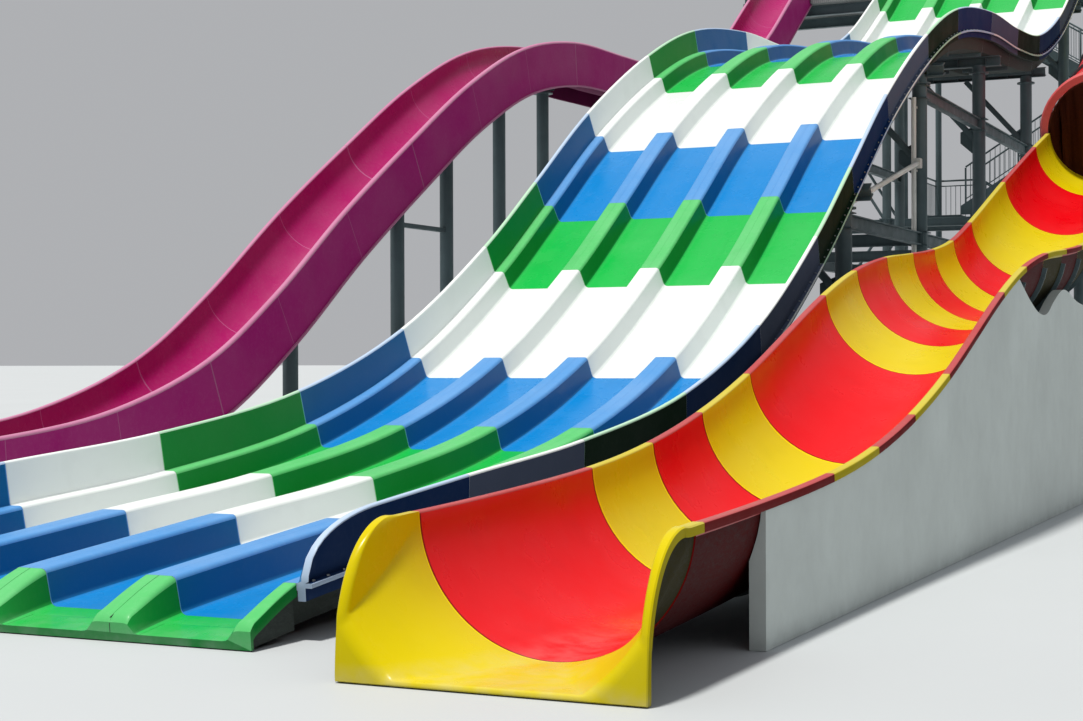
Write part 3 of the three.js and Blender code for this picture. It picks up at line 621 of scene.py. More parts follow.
def chalky(colour, share):
    """The colour with a share of pale chalking mixed in."""
    return (*(c * (1 - share) + k * share for c, k in zip(colour, CHALK)), 1.0)


def gelcoat(name, colour, rough=0.3, fade=0.3, flow=0.2, shine=0.2):
    """Moulded fibreglass: glossy colour, chalky fading, water streaks and a lime line."""
    n = Nodes(name)
    base = shade(colour, 1.0)
    pale = chalky(colour, 0.12)
    patches = n.ramp(n.noise(0.7, 6.0, 0.6), 0.38, 0.68, 0.0, fade)
    body = n.mix(patches, base, pale)
    speckle = n.ramp(n.noise(24.0, 6.0, 0.7), 0.5, 0.66, 0.0, fade * 0.6)
    body = n.mix(speckle, body, pale)
    streaks = n.noise(1.0, 2.0, 0.5, n.stretch((11.0, 0.5, 0.9)), 0.4)
    body = n.mix(n.ramp(streaks, 0.54, 0.76, 0.0, flow), body, shade(base, 0.78))
    grime = n.ramp(n.noise(3.2, 3.0, 0.5), 0.55, 0.8, 0.0, 0.14)
    body = n.mix(grime, body, shade(base, 0.6))
    lime_line = n.ramp(n.height(), 0.02, 0.11, 1.0, 0.0)
    lime = n.times(lime_line, n.ramp(n.noise(7.0, 6.0), 0.35, 0.65, 0.05, 0.4))
    body = n.mix(lime, body, shade(chalky(colour, 0.35), 0.8))
    n.colour(body)
    n.roughness(n.ramp(n.noise(2.4, 6.0), 0.3, 0.75, rough - 0.06, rough + 0.14))
    n.shader.inputs["Specular IOR Level"].default_value = shine
    n.shader.inputs["Coat Weight"].default_value = shine * 0.3
    n.shader.inputs["Coat Roughness"].default_value = 0.12
    n.bump(n.noise(3.0, 2.0, 0.5), 0.002, 0.25)
    return n.material


def laminate(name, colour):
    """The rough back of a moulding: the same colour, duller, with fibres showing."""
    n = Nodes(name)
    base = shade(colour, 1.0)
    fibres = n.noise(40.0, 8.0, 0.7, n.stretch((1.0, 0.35, 1.0)), 1.2)
    body = n.mix(n.ramp(fibres, 0.4, 0.62), shade(base, 0.62), base)
    body = n.mix(n.ramp(n.noise(1.1, 5.0), 0.4, 0.75, 0.0, 0.5), body, shade(base, 0.45))
    n.colour(body)
    n.roughness(n.ramp(fibres, 0.3, 0.7, 0.6, 0.85))
    n.shader.inputs["Specular IOR Level"].default_value = 0.12
    n.bump(fibres, 0.003, 0.6)
    return n.material


def painted_steel(name, colour):
    """Grey-green paint on hot-rolled steel, with dust, scuffs and a little rust."""
    n = Nodes(name)
    base = shade(colour, 1.0)
    wash = n.ramp(n.noise(0.9, 6.0, 0.6), 0.35, 0.7)
    body = n.mix(wash, shade(base, 0.8), shade(base, 1.2))
    runs = n.ramp(n.noise(1.0, 6.0, 0.6, n.stretch((14.0, 14.0, 0.9))), 0.55, 0.75, 0.0, 0.35)
    body = n.mix(runs, body, shade(base, 0.55))
    rust_spots = n.ramp(n.noise(7.0, 10.0, 0.7), 0.68, 0.74, 0.0, 0.75)
    body = n.mix(rust_spots, body, (0.13, 0.045, 0.015, 1.0))
    damp = n.ramp(n.height(), 0.02, 0.35, 0.55, 0.0)
    body = n.mix(damp, body, (0.1, 0.09, 0.07, 1.0))
    n.colour(body)
    n.roughness(n.ramp(n.noise(5.0, 6.0), 0.3, 0.7, 0.38, 0.66))
    n.shader.inputs["Metallic"].default_value = 0.15
    n.bump(n.noise(34.0, 4.0), 0.0012, 0.5)
    return n.material


def galvanised(name):
    """Zinc-coated bolts."""
    n = Nodes(name)
    cells = n.add("ShaderNodeTexVoronoi")
    cells.inputs["Scale"].default_value = 45.0
    n.link(n.coordinates, cells.inputs["Vector"])
    spangle = n.ramp(cells.outputs["Distance"], 0.0, 0.7)
    n.colour(n.mix(spangle, (0.3, 0.32, 0.33, 1.0), (0.5, 0.52, 0.53, 1.0)))
    n.roughness(n.ramp(n.noise(12.0, 5.0), 0.3, 0.7, 0.32, 0.55))
    n.shader.inputs["Metallic"].default_value = 0.85
    n.bump(spangle, 0.0006, 0.4)
    return n.material


def rendered_wall(name, colour):
    """Painted render: fine sand grain, faint rain marks and a darker damp foot."""
    n = Nodes(name)
    base = shade(colour, 1.0)
    cloud = n.ramp(n.noise(0.8, 7.0, 0.65), 0.35, 0.7)
    body = n.mix(cloud, shade(base, 0.9), shade(base, 1.06))
    blotch = n.ramp(n.noise(3.5, 8.0, 0.7), 0.5, 0.72, 0.0, 0.3)
    body = n.mix(blotch, body, shade(base, 0.8))
    rain = n.ramp(n.noise(1.0, 7.0, 0.65, n.stretch((3.0, 3.0, 0.7))), 0.56, 0.8, 0.0, 0.1)
    body = n.mix(rain, body, shade(base, 0.7))
    foot = n.ramp(n.height(), 0.02, 0.12, 0.35, 0.0)
    body = n.mix(n.times(foot, n.ramp(n.noise(5.0, 6.0), 0.3, 0.7)), body, shade(base, 0.45))
    n.colour(body)
    n.shader.inputs["Roughness"].default_value = 0.85
    grain = n.noise(90.0, 6.0, 0.7)
    n.bump(grain, 0.003, 0.7)
    return n.material


def deck_plate(name, colour):
    """Anti-slip plate with raised lozenges and worn paint."""
    n = Nodes(name)
    base = shade(colour, 1.0)
    waves = []
    for turn in (math.pi / 4, -math.pi / 4):
        wave = n.add("ShaderNodeTexWave", wave_type="BANDS")
        wave.inputs["Scale"].default_value = 9.0
        n.link(n.stretch((1.0, 1.0, 1.0), (0, 0, turn)), wave.inputs["Vector"])
        waves.append(n.ramp(wave.outputs["Fac"], 0.62, 0.8))
    lozenges = n.times(waves[0], waves[1])
    worn = n.ramp(n.noise(1.3, 7.0, 0.6), 0.4, 0.7)
    body = n.mix(worn, shade(base, 0.75), shade(base, 1.15))
    body = n.mix(n.times(lozenges, 0.4), body, (0.5, 0.52, 0.52, 1.0))
    n.colour(body)
    n.roughness(n.ramp(worn, 0.0, 1.0, 0.45, 0.75))
    n.shader.inputs["Metallic"].default_value = 0.3
    n.bump(lozenges, 0.003, 0.8)
    return n.material


def sealant(name):
    """Dark joint sealant."""
    n = Nodes(name)
    n.colour(n.mix(n.noise(30.0, 4.0), (0.012, 0.013, 0.015, 1.0), (0.04, 0.042, 0.045, 1.0)))
    n.shader.inputs["Roughness"].default_value = 0.7
    n.bump(n.noise(60.0, 3.0), 0.001, 0.5)
    return n.material


MATERIALS = {}


def material(key, maker, *args, **values):
    """Makes a finish once, and gives the same one each time after."""
    if key not in MATERIALS:
        MATERIALS[key] = maker(key, *args, **values)
    return MATERIALS[key]


def coats(prefix):
    """Gives a maker of gelcoat finishes whose names start alike."""

    def coat(part, tone, rough, fade, flow, shine):
        return material(f"{prefix}_{part}", gelcoat, tone, rough, fade, flow, shine)

    return coat


def steel():
    return material("steelwork_paint", painted_steel, bpy.context.scene.slides_steel.colour)


def zinc():
    return material("galvanised_steel", galvanised)


# Painted shading: how bright the sides and the outer faces are beside the floor of each lane
# colour. The outer faces and the blue and green sides are darkened as painted shade; the white's
# sides are painted lighter.
LANE_PAINTED_SHADING = {"blue": (0.5, 0.09), "white": (1.12, 0.11), "green": (0.5, 0.03)}
OUTSIDE_SHADE_TINT = (0.95, 1.15, 1.9)  # painted blue cast of shade on the outer faces


LANE_SIDE_PAINTED_LIGHT, LANE_FLOOR, LANE_TOP_CHALK_HIGHLIGHT, LANE_UNDER, LANE_OUTSIDE_SHADE, LANE_EDGE_HIGHLIGHT = range(6)


def lane_finishes(colour, settings):
    """Side, floor, top, underside, outside and edge of one colour of lane moulding; sides, outside
    and underside carry painted shade (the white's sides painted lighter), top and edge a painted
    highlight.
    """
    base = getattr(settings, colour)
    side, outside = LANE_PAINTED_SHADING[colour]
    # The outer faces are darkened and tinted blue as painted shade.
    outside_shade_colour = chalky([c * outside * tint for c, tint in zip(base, OUTSIDE_SHADE_TINT)], 0.006)
    coat = coats(f"lane_{colour}")
    return [
        # Sides: darkened as painted shade, and painted lighter on the white.
        coat("side", shade(base, side), rough=0.34, fade=0.08, flow=0.12, shine=0.1),
        coat("floor", base, rough=0.24, fade=0.2, flow=0.2, shine=0.2),
        # Ridge tops: chalking, and paler still as a painted highlight.
        coat("top", chalky(base, 0.09), rough=0.42, fade=0.5, flow=0.2, shine=0.12),
        # Underside laminate, darkened as painted shade.
        material("underside_laminate", laminate, linear((74, 82, 78))),
        coat("outside", outside_shade_colour, rough=0.6, fade=0.1, flow=0.1, shine=0.03),
        # Edges: paled as a painted highlight.
        coat("edge", chalky(base, 0.5), rough=0.4, fade=0.4, flow=0.1, shine=0.1),
    ]


# Brightness of the rim and its chalking, which also stands for a painted highlight; brightness of
# the back and the lip, darkened as painted shade; and brightness of the joint edges, darker on the
# red and a painted highlight on the yellow.
CHUTE_PAINTED_TONES = {"red": (0.6, 0.065, 0.1, 0.2, 0.4), "yellow": (0.85, 0.04, 0.05, 0.6, 1.3)}


CHUTE_INSIDE, CHUTE_RIM_CHALK_HIGHLIGHT, CHUTE_BACK_SHADE, CHUTE_LIP_SHADE, CHUTE_EDGE = range(5)


def chute_finishes(colour, settings):
    """Inside, rim, back, lip and joint edges of one colour of chute moulding; back and lip carry
    painted shade, the rim a painted highlight besides its chalking.
    """
    base = getattr(settings, colour)
    rim, chalk_and_highlight, back, lip, joint = CHUTE_PAINTED_TONES[colour]
    coat = coats(f"chute_{colour}")
    return [
        coat("inside", base, rough=0.28, fade=0.06, flow=0.06, shine=0.1),
        # Rim: chalking, paler in part as a painted highlight.
        coat("rim", chalky(shade(base, rim), chalk_and_highlight), rough=0.4, fade=0.3, flow=0.1, shine=0.1),
        # Back and lip: darkened as painted shade.
        material(f"chute_{colour}_back", laminate, shade(base, back)),
        coat("lip", shade(base, lip), rough=0.5, fade=0.05, flow=0.1, shine=0.02),
        # Joint edges: darker on the red, lighter on the yellow as a painted highlight.
        coat("joint", shade(base, joint), rough=0.4, fade=0.1, flow=0.0, shine=0.05),
    ]


# Racing lanes.


def lane_crest(seam=0.0015, seam_deep=0.002, ease=0.03):
    """Upper side of the lanes with a seam along each ridge where two lanes meet."""
    points = [(RIDGE_HALF_TOP, RIDGE_HEIGHT, ease), (RIDGE_HALF_FOOT, 0, 0.04)]
    for i in range(1, LANE_COUNT):
        points += [
            (i - RIDGE_HALF_FOOT, 0, 0.04),
            (i - RIDGE_HALF_TOP, RIDGE_HEIGHT, ease),
            (i - seam, RIDGE_HEIGHT, 0),
            (i, RIDGE_HEIGHT - seam_deep, 0),
            (i + seam, RIDGE_HEIGHT, 0),
            (i + RIDGE_HALF_TOP, RIDGE_HEIGHT, ease),
            (i + RIDGE_HALF_FOOT, 0, 0.04),
        ]
    points += [
        (LANE_COUNT - RIDGE_HALF_FOOT, 0, 0.04),
        (LANE_COUNT - RIDGE_HALF_TOP, RIDGE_HEIGHT, ease),
    ]
    return points


def lane_outline(wall_height):
    """Section of a lane moulding: a thin shell with low ridges and high outer walls."""
    wall = [
        (-SIDE_THICK, RIDGE_HEIGHT - SIDE_LIP, 0.006),
        (-SIDE_THICK, RIDGE_HEIGHT - SIDE_FLANGE, 0),
        (-SIDE_THICK - SIDE_FLANGE_REACH, RIDGE_HEIGHT - SIDE_FLANGE, 0.005),
        (-SIDE_THICK - SIDE_FLANGE_REACH, RIDGE_HEIGHT, 0.005),
        (-SIDE_THICK, RIDGE_HEIGHT, 0),
        (-SIDE_THICK - SIDE_LEAN, wall_height, 0.018),
        (-SIDE_LEAN, wall_height, 0.018),
        (0, RIDGE_HEIGHT, 0.012),
    ]
    points = wall + lane_crest() + mirrored(wall, LANE_COUNT / 2)
    in_top = RIDGE_HALF_TOP - LANE_SHELL
    in_foot = RIDGE_HALF_FOOT - LANE_SHELL
    roof = RIDGE_HEIGHT - LANE_SHELL
    lip = SIDE_THICK - LANE_SHELL
    under = [
        (in_foot, -LANE_SHELL, 0.012),
        (in_top, roof, 0),
        (lip, roof, 0),
        (lip, RIDGE_HEIGHT - SIDE_LIP, 0),
    ]
    points += mirrored(under, LANE_COUNT / 2)
    for i in range(LANE_COUNT - 1, 0, -1):
        points += [
            (i + in_foot, -LANE_SHELL, 0.012),
            (i + in_top, roof, 0),
            (i - in_top, roof, 0),
            (i - in_foot, -LANE_SHELL, 0.012),
        ]
    return points + under


def lane_face(wall_height):
    """Gives a chooser of the finish that each face takes, in the order of lane_finishes."""
    ledge = RIDGE_HEIGHT - SIDE_FLANGE - 0.002

    def choose(x, h, s):
        out = max(-x, x - LANE_COUNT)
        from_ridge = min(abs(x - i) for i in range(LANE_COUNT + 1))
        narrow = s[1] - s[0] < 0.01
        # Wall tops, end faces and the flange's outer edge take the pale edge finish, a painted
        # highlight.
        if s[0] == s[1] or h > wall_height - 0.019:
            return LANE_EDGE_HIGHLIGHT
        if out > SIDE_THICK + SIDE_FLANGE_REACH - 0.003 and ledge < h:
            return LANE_EDGE_HIGHLIGHT
        if out > 0.04:
            return LANE_OUTSIDE_SHADE
        if h > RIDGE_HEIGHT + 0.002:
            return LANE_TOP_CHALK_HIGHLIGHT if narrow else LANE_SIDE_PAINTED_LIGHT
        if -0.012 < h < 0.02 and from_ridge > RIDGE_HALF_TOP:
            return LANE_FLOOR
        if h > RIDGE_HEIGHT - 0.035 and from_ridge < RIDGE_HALF_TOP + 0.005:
            return LANE_TOP_CHALK_HIGHLIGHT
        if h < -0.02 or from_ridge < RIDGE_HALF_FOOT - LANE_SHELL + 0.003:
            return LANE_UNDER
        return LANE_TOP_CHALK_HIGHLIGHT if narrow else LANE_SIDE_PAINTED_LIGHT

    return choose


def build_nose(settings):
    """The blunt ends of the ridges at the water, with the floor running out between them."""
    hem = RIDGE_HEIGHT - NOSE_LIP
    recess = NOSE_INSET + NOSE_RECESS + 0.002
    side = [
        (NOSE_INSET + NOSE_RECESS, -LANE_SHELL, 0), (NOSE_INSET + NOSE_RECESS, hem, 0),
        (NOSE_INSET, hem, 0), (NOSE_INSET, RIDGE_HEIGHT, 0.012),
    ]
    crest = lane_crest(seam=0.0035, seam_deep=0.01, ease=0.036)
    points = side + crest + mirrored(side, LANE_COUNT / 2)

    def top_at(s):
        return NOSE_FRONT + s * (RIDGE_HEIGHT - NOSE_FRONT)

    def droop(x, h, s):
        """Slopes the top, flares the feet and leaves a hollow under the outer lips."""
        outer = min(x, LANE_COUNT - x)
        if outer < recess and s < NOSE_BLUNT:
            x = NOSE_INSET if x < 1 else LANE_COUNT - NOSE_INSET
        if h <= 0:
            return x, h, 0
        edge = max(0.0, 1 - s / NOSE_EDGE)
        top = top_at(s) - NOSE_EDGE_DROP * edge * edge
        if outer < recess and abs(h - hem) < 0.002:
            return x, max(top - NOSE_LIP, 0.0), 0
        from_ridge = x - round(x)
        if abs(from_ridge) > 0.06 and 0 < x < LANE_COUNT:
            x += math.copysign(NOSE_FLARE * (1 - s) * (1 - h / RIDGE_HEIGHT), from_ridge)
        return x, h / RIDGE_HEIGHT * top, 0

    bm = moulding(points, LANES, 0, 1 / LANES.spans, 20, droop)
    choose = lane_face(settings.wall_height)

    def finish(x, h, s):
        if s[1] < 0.001:
            return LANE_TOP_CHALK_HIGHLIGHT if h > 0.01 else LANE_SIDE_PAINTED_LIGHT
        if min(x, LANE_COUNT - x) < recess + 0.001 and h < RIDGE_HEIGHT - 0.02:
            return LANE_SIDE_PAINTED_LIGHT if s[1] < 0.06 or h > hem + 0.002 else LANE_UNDER
        return choose(x, h, s)

    paint(bm, finish)
    finish_piece("lane_nose_moulding", bm, lane_finishes("green", settings),
                 ["lanes_00_nose_green"])

    bm = bmesh.new()
    station = LANES.frame(0)
    lowest = top_at(0) - NOSE_EDGE_DROP
    pieces = 10
    for i in range(1, LANE_COUNT):
        add_box(bm, (i - 0.0022, 0.0005, 0.004), (i + 0.0022, 0.01, lowest - 0.004), station)
        for k in range(pieces):
            ends = []
            for s in ((k + 0.2) / pieces, (k + 1.2) / pieces):
                spot = Vector((i, 0, top_at(s) - 0.0075))
                ends.append(LANES.frame(min(s, 1) / LANES.spans) @ spot)
            add_flat(bm, *ends, 0.003, 0.006, 0)
    finish_piece("lane_nose_seams", bm, [material("joint_sealant", sealant)])


def build_lanes(settings):
    """One wide moulding for each colour band, with rounded ridges and high outer walls."""
    wall_height = settings.wall_height
    outline = lane_outline(wall_height)
    choose = lane_face(wall_height)
    first_reach = LANES.length(1 / LANES.spans, 2 / LANES.spans)

    def round_end(x, h, s):
        """Lets the outer walls of the first moulding rise in a quarter circle."""
        rest = max(0.0, 1 - s * first_reach / SIDE_END_CURVE)
        rise = max(0.03, math.sqrt(max(0.0, 1 - rest * rest)))
        if h > RIDGE_HEIGHT + 1e-4:
            return x, RIDGE_HEIGHT + (h - RIDGE_HEIGHT) * rise, 0
        return x, h, 0

    for i in range(1, LANES.spans):
        colour = ("blue", "white", "green")[(i - 1) % 3]
        steps, shaper = (24, round_end) if i == 1 else (8, None)
        bm = moulding(outline, LANES, i / LANES.spans, (i + 1) / LANES.spans, steps, shaper)
        paint(bm, choose)
        finish_piece(
            f"lane_moulding_{i:02d}", bm, lane_finishes(colour, settings),
            [f"lanes_{i:02d}_{colour}"],
        )


def build_start_plates(settings):
    """Plates that close the hollow ridges where the lanes start."""
    bm = bmesh.new()
    station = LANES.frame(1) @ Matrix.Translation((0, -0.03, 0))
    lap = 0.005 - LANE_SHELL
    top, foot = RIDGE_HALF_TOP + lap, RIDGE_HALF_FOOT + lap
    low, high = 0.004 - LANE_SHELL, RIDGE_HEIGHT + lap
    for i in range(1, LANE_COUNT):
        corners = [(i - foot, low), (i + foot, low), (i + top, high), (i - top, high)]
        add_plate(bm, corners, station, 0.012)
    # The plates take the blue side finish, which carries painted shade.
    finish_piece("lane_start_plates", bm, [lane_finishes("blue", settings)[0]])


def build_lane_fixings(settings):
    """Bolts along the outer walls and bolted flanges under each joint."""
    bm = bmesh.new()
    out = SIDE_THICK + SIDE_FLANGE * 0.5
    for t in LANES.spaced(1 / LANES.spans, 1.0, settings.bolt_spacing):
        station = LANES.frame(t)
        for x in (-out, LANE_COUNT + out):
            add_bolt(bm, station @ Matrix.Translation((x, 0, RIDGE_HEIGHT)), *SMALL_BOLT)
    finish_piece("lane_wall_bolts", bm, [zinc()])

    bm = bmesh.new()
    inset = RIDGE_HALF_FOOT - LANE_SHELL + 0.012
    outside = JOINT_GAP + JOINT_PLATE
    for i in range(2, LANES.spans):
        station = LANES.frame(i / LANES.spans)
        if LANES.point(i / LANES.spans).y < LANE_FLANGE_FROM:
            continue
        for side in (-1, 1):
            turn = Matrix.Rotation(-side * math.pi / 2, 4, "X")
            y0, y1 = sorted((side * JOINT_GAP, side * outside))
            for lane in range(LANE_COUNT):
                x0, x1 = lane + inset, lane + 1 - inset
                add_box(bm, (x0, y0, -LANE_SHELL - LANE_FLANGE), (x1, y1, -LANE_SHELL + 0.004),
                        station, 0.002)
                for k in range(4):
                    x = x0 + (x1 - x0) * (k + 0.5) / 4
                    spot = Matrix.Translation((x, side * outside, -LANE_SHELL - LANE_FLANGE / 2))
                    add_bolt(bm, station @ spot @ turn, *FLANGE_BOLT)
    finish_piece("lane_joint_flanges", bm, [steel()])


# Round chute.


def arc(half, depth, centre, flip, count, straight=0.0):
    """Half of an ellipse that hangs below the rim, from one side to the other."""
    points = []
    for i in range(count + 1):
        angle = math.pi * i / count
        points.append(
            (centre - flip * half * math.cos(angle), -straight - depth * math.sin(angle), 0)
        )
    return points


def chute_outline(rim_width, rim_drop):
    """Section of an open chute moulding: a thin round shell, its rim and its turned-down lip."""
    inner = arc(CHUTE_HALF, CHUTE_DEPTH, CHUTE_X, 1, 32)
    outer = arc(CHUTE_HALF + CHUTE_SHELL, CHUTE_DEPTH + CHUTE_SHELL, CHUTE_X, -1, 32)[1:-1]
    inner[0] = (inner[0][0], 0, 0.012)
    inner[-1] = (inner[-1][0], 0, 0.012)
    edge = CHUTE_X - CHUTE_HALF - rim_width
    thin = 0.014
    rim = [
        (CHUTE_X - CHUTE_HALF - CHUTE_SHELL, -thin, 0),
        (edge + thin, -thin, 0),
        (edge + thin, -rim_drop, 0.004),
        (edge, -rim_drop, 0.004),
        (edge, 0, 0.012),
    ]
    return inner + mirrored(rim, CHUTE_X) + outer + rim


def chute_face(rim_width, rim_drop):
    """Gives a chooser of the finish that each face takes, in the order of chute_finishes."""

    def choose(x, h, s):
        offset = abs(x - CHUTE_X)
        if s[0] == s[1]:
            return CHUTE_EDGE
        if offset > CHUTE_HALF + rim_width - 0.004 and h < -0.006:
            return CHUTE_LIP_SHADE
        if offset > CHUTE_HALF + CHUTE_SHELL and -rim_drop - 0.01 < h < -0.01:
            return CHUTE_LIP_SHADE
        if offset > CHUTE_HALF and h > -rim_drop - 0.01:
            return CHUTE_RIM_CHALK_HIGHLIGHT
        if math.hypot(offset / CHUTE_HALF, h / CHUTE_DEPTH) > 1.01:
            return CHUTE_BACK_SHADE
        return CHUTE_EDGE if s[1] - s[0] < 0.02 else CHUTE_INSIDE

    return choose


def exit_section(theta, s):
    """Where the inside of the exit lies: x, height and how far back it is rounded.

    The round section widens towards the low end, where flat sides and a flat floor cut it.
    """
    low = 1 - min(s, 1.0)
    widen, flare = low**1.6, low**4
    half = CHUTE_HALF + (EXIT_HALF - CHUTE_HALF) * widen
    deep = CHUTE_DEPTH + (EXIT_HALF - CHUTE_DEPTH) * widen
    limit = CHUTE_HALF + EXIT_FLARE * flare
    x = max(-limit, min(limit, -half * math.cos(theta)))
    h = max(-CHUTE_DEPTH - (EXIT_FLOOR - CHUTE_DEPTH) * widen, -deep * math.sin(theta))
    up = min(1.0, max(0.0, 1 + h / EXIT_ROUND_DOWN))
    back = EXIT_ROUND * (1 - math.sqrt(1 - up * up)) * low
    return CHUTE_X + x, h, back


def exit_outward(theta, s, rim_width):
    """Which way is outward there, and how far it is to the outline of the flat front."""
    x, h, _ = exit_section(theta, s)
    across, down = x - CHUTE_X, -h
    edge = CHUTE_HALF + rim_width
    if s > 0 or abs(across) > CHUTE_HALF + EXIT_FLARE - 1e-5:
        return Vector((math.copysign(1.0, across), 0, 0)), edge - abs(across)
    if down > EXIT_FLOOR - 1e-5:
        return Vector((0, 0, -1)), EXIT_FRONT - down
    out = Vector((across, 0, -down)).normalized()
    return out, min((edge - abs(across)) / max(abs(out.x), 1e-6),
                    (EXIT_FRONT - down) / max(-out.z, 1e-6))


def exit_angle(u):
    """Spreads the points so that they crowd at the rounded corners."""
    half = math.pi / 2
    return half * (2 * u) ** 1.5 if u < 0.5 else math.pi - half * (2 - 2 * u) ** 1.5


def build_exit(settings):
    """The exit, with the rim's flange and lip running down and round its flat front."""
    bm = bmesh.new()
    rows = 34
    bmesh.ops.create_grid(bm, x_segments=192, y_segments=rows, size=0.5)
    u_of = bm.verts.layers.float.new("u")
    s_of = bm.verts.layers.float.new("s")
    t1 = (1 - SEAM / 1.6) / CHUTE.spans
    reach = CHUTE.length(0, t1)

    def place(u, s):
        """The inside with the soft bend at its mouth, which is sharper up at the rim."""
        theta = exit_angle(u)
        x, h, back = exit_section(theta, s)
        out, extent = exit_outward(theta, 0, settings.rim_width)
        down = min(1.0, max(0.0, -h / EXIT_BEND_DEPTH))
        bend = min(EXIT_BEND_RIM + (EXIT_BEND - EXIT_BEND_RIM) * down, extent - 0.009)
        near = bend - s * reach
        if near > 0:
            spread = bend - math.sqrt(max(0.0, bend * bend - near * near))
            x, h = x + out.x * spread, h + out.z * spread
        return CHUTE.frame(t1 * s) @ Vector((x, back, h))

    def edge_frame(u, s):
        """Directions outward and back from the edge, and how wide its flange is."""
        step = 0.003
        x, h, _ = exit_section(exit_angle(u), s)
        out, extent = exit_outward(exit_angle(u), s, settings.rim_width)
        moved = CHUTE.frame(t1 * s).inverted() @ place(u, s)
        extent -= Vector((moved.x - x, 0, moved.z - h)).length
        out = (CHUTE.frame(t1 * s).to_3x3() @ out).normalized()
        if s > 1e-6:
            run = place(u, max(0, s - step)) - place(u, min(1, s + step))
            run = run if u > 0.5 else -run
        elif u > 1 - 1e-6:
            run = place(1 - step, 0) - place(1, step)
        elif u < 1e-6:
            run = place(0, step) - place(step, 0)
        else:
            run = place(max(0, u - step), 0) - place(min(1, u + step), 0)
        return out, out.cross(run).normalized(), extent

    for vert in bm.verts:
        u, s = vert.co.x + 0.5, vert.co.y + 0.5
        s = 1.0 if s > 0.999 else (s * rows / (rows - 1)) ** 1.5 * (1 - 0.011)
        vert[u_of], vert[s_of] = u, s
        vert.co = place(u, s)
    edges = [
        edge for edge in bm.edges
        if edge.is_boundary and not all(vert[s_of] > 0.999 for vert in edge.verts)
    ]
    inside = {face for face in bm.faces if min(v[s_of] for v in face.verts) < 0.98}
    joint = set(bm.faces) - inside
    front, lips = set(), set()
    rings = ((EXIT_EASE, 0.0), (0.0, EXIT_EASE), (0.0, settings.rim_drop))
    for k, (less, back) in enumerate(rings):
        made = bmesh.ops.extrude_edge_only(bm, edges=edges)
        edges = made_of(made, BMEdge)
        for vert in made_of(made, BMVert):
            u, s = vert[u_of], vert[s_of]
            out, behind, extent = edge_frame(u, s)
            vert.co = place(u, s) + out * max(extent - less, 0.0) + behind * back
        for face in made_of(made, BMFace):
            if k == 2:
                lips.add(face)
            elif max(v[s_of] for v in face.verts) < 0.001:
                front.add(face)
    for face in bm.faces:
        face.material_index = CHUTE_LIP_SHADE if face in lips else CHUTE_RIM_CHALK_HIGHLIGHT
        if face in inside or face in front:
            face.material_index = CHUTE_INSIDE
        elif face in joint:
            face.material_index = CHUTE_EDGE
    bmesh.ops.recalc_face_normals(bm, faces=bm.faces)
    lowest = min(inside, key=lambda f: f.calc_center_median().z)
    if lowest.normal.z < 0:
        bmesh.ops.reverse_faces(bm, faces=bm.faces)
    push = bm.verts.layers.float_vector.new("push")
    bm.normal_update()
    for vert in bm.verts:
        vert[push] = vert.normal * -EXIT_SHELL
    made = bmesh.ops.extrude_face_region(bm, geom=list(bm.faces))
    for vert in made_of(made, BMVert):
        vert.co += vert[push]
    # The back takes the darkened back finish, which stands for painted shade.
    for face in made_of(made, BMFace):
        if face.material_index != CHUTE_LIP_SHADE:
            face.material_index = CHUTE_BACK_SHADE
    bmesh.ops.recalc_face_normals(bm, faces=bm.faces)
    finish_piece("chute_exit_moulding", bm, chute_finishes("yellow", settings),
                 ["chute_00_yellow"], sharp=40.0)


def build_chute(settings):
    """Open red and yellow mouldings from the exit up to the tube's mouth."""
    rim = (settings.rim_width, settings.rim_drop)
    outline = chute_outline(*rim)
    for i in range(1, CHUTE.spans):
        colour = "red" if i % 2 else "yellow"
        t0, t1 = i / CHUTE.spans, (i + 1) / CHUTE.spans
        bm = moulding(outline, CHUTE, t0, t1, 8, strip=0.018)
        paint(bm, chute_face(*rim))
        finish_piece(
            f"chute_moulding_{i:02d}", bm, chute_finishes(colour, settings),
            [f"chute_{i:02d}_{colour}"],
        )


def build_chute_fixings():
    """Bolted ring flanges under the joints of the chute and the tube."""
    bm = bmesh.new()
    for i in range(1, CHUTE.spans):
        if CHUTE.point(i / CHUTE.spans).y - CHUTE_DEPTH < 0.1:
            continue
        end = 1.83 if CHUTE_JOINTS[i][0] < WALL_RIM_END else 1.94
        ring_flange(bm, CHUTE.frame(i / CHUTE.spans), math.pi * 1.06, math.pi * end)
    for k in range(3, 2 * TUBE.spans):
        ring_flange(bm, TUBE.frame(k / 2 / TUBE.spans), 0.0, 2 * math.pi)
    finish_piece("chute_joint_flanges", bm, [steel(), zinc()])


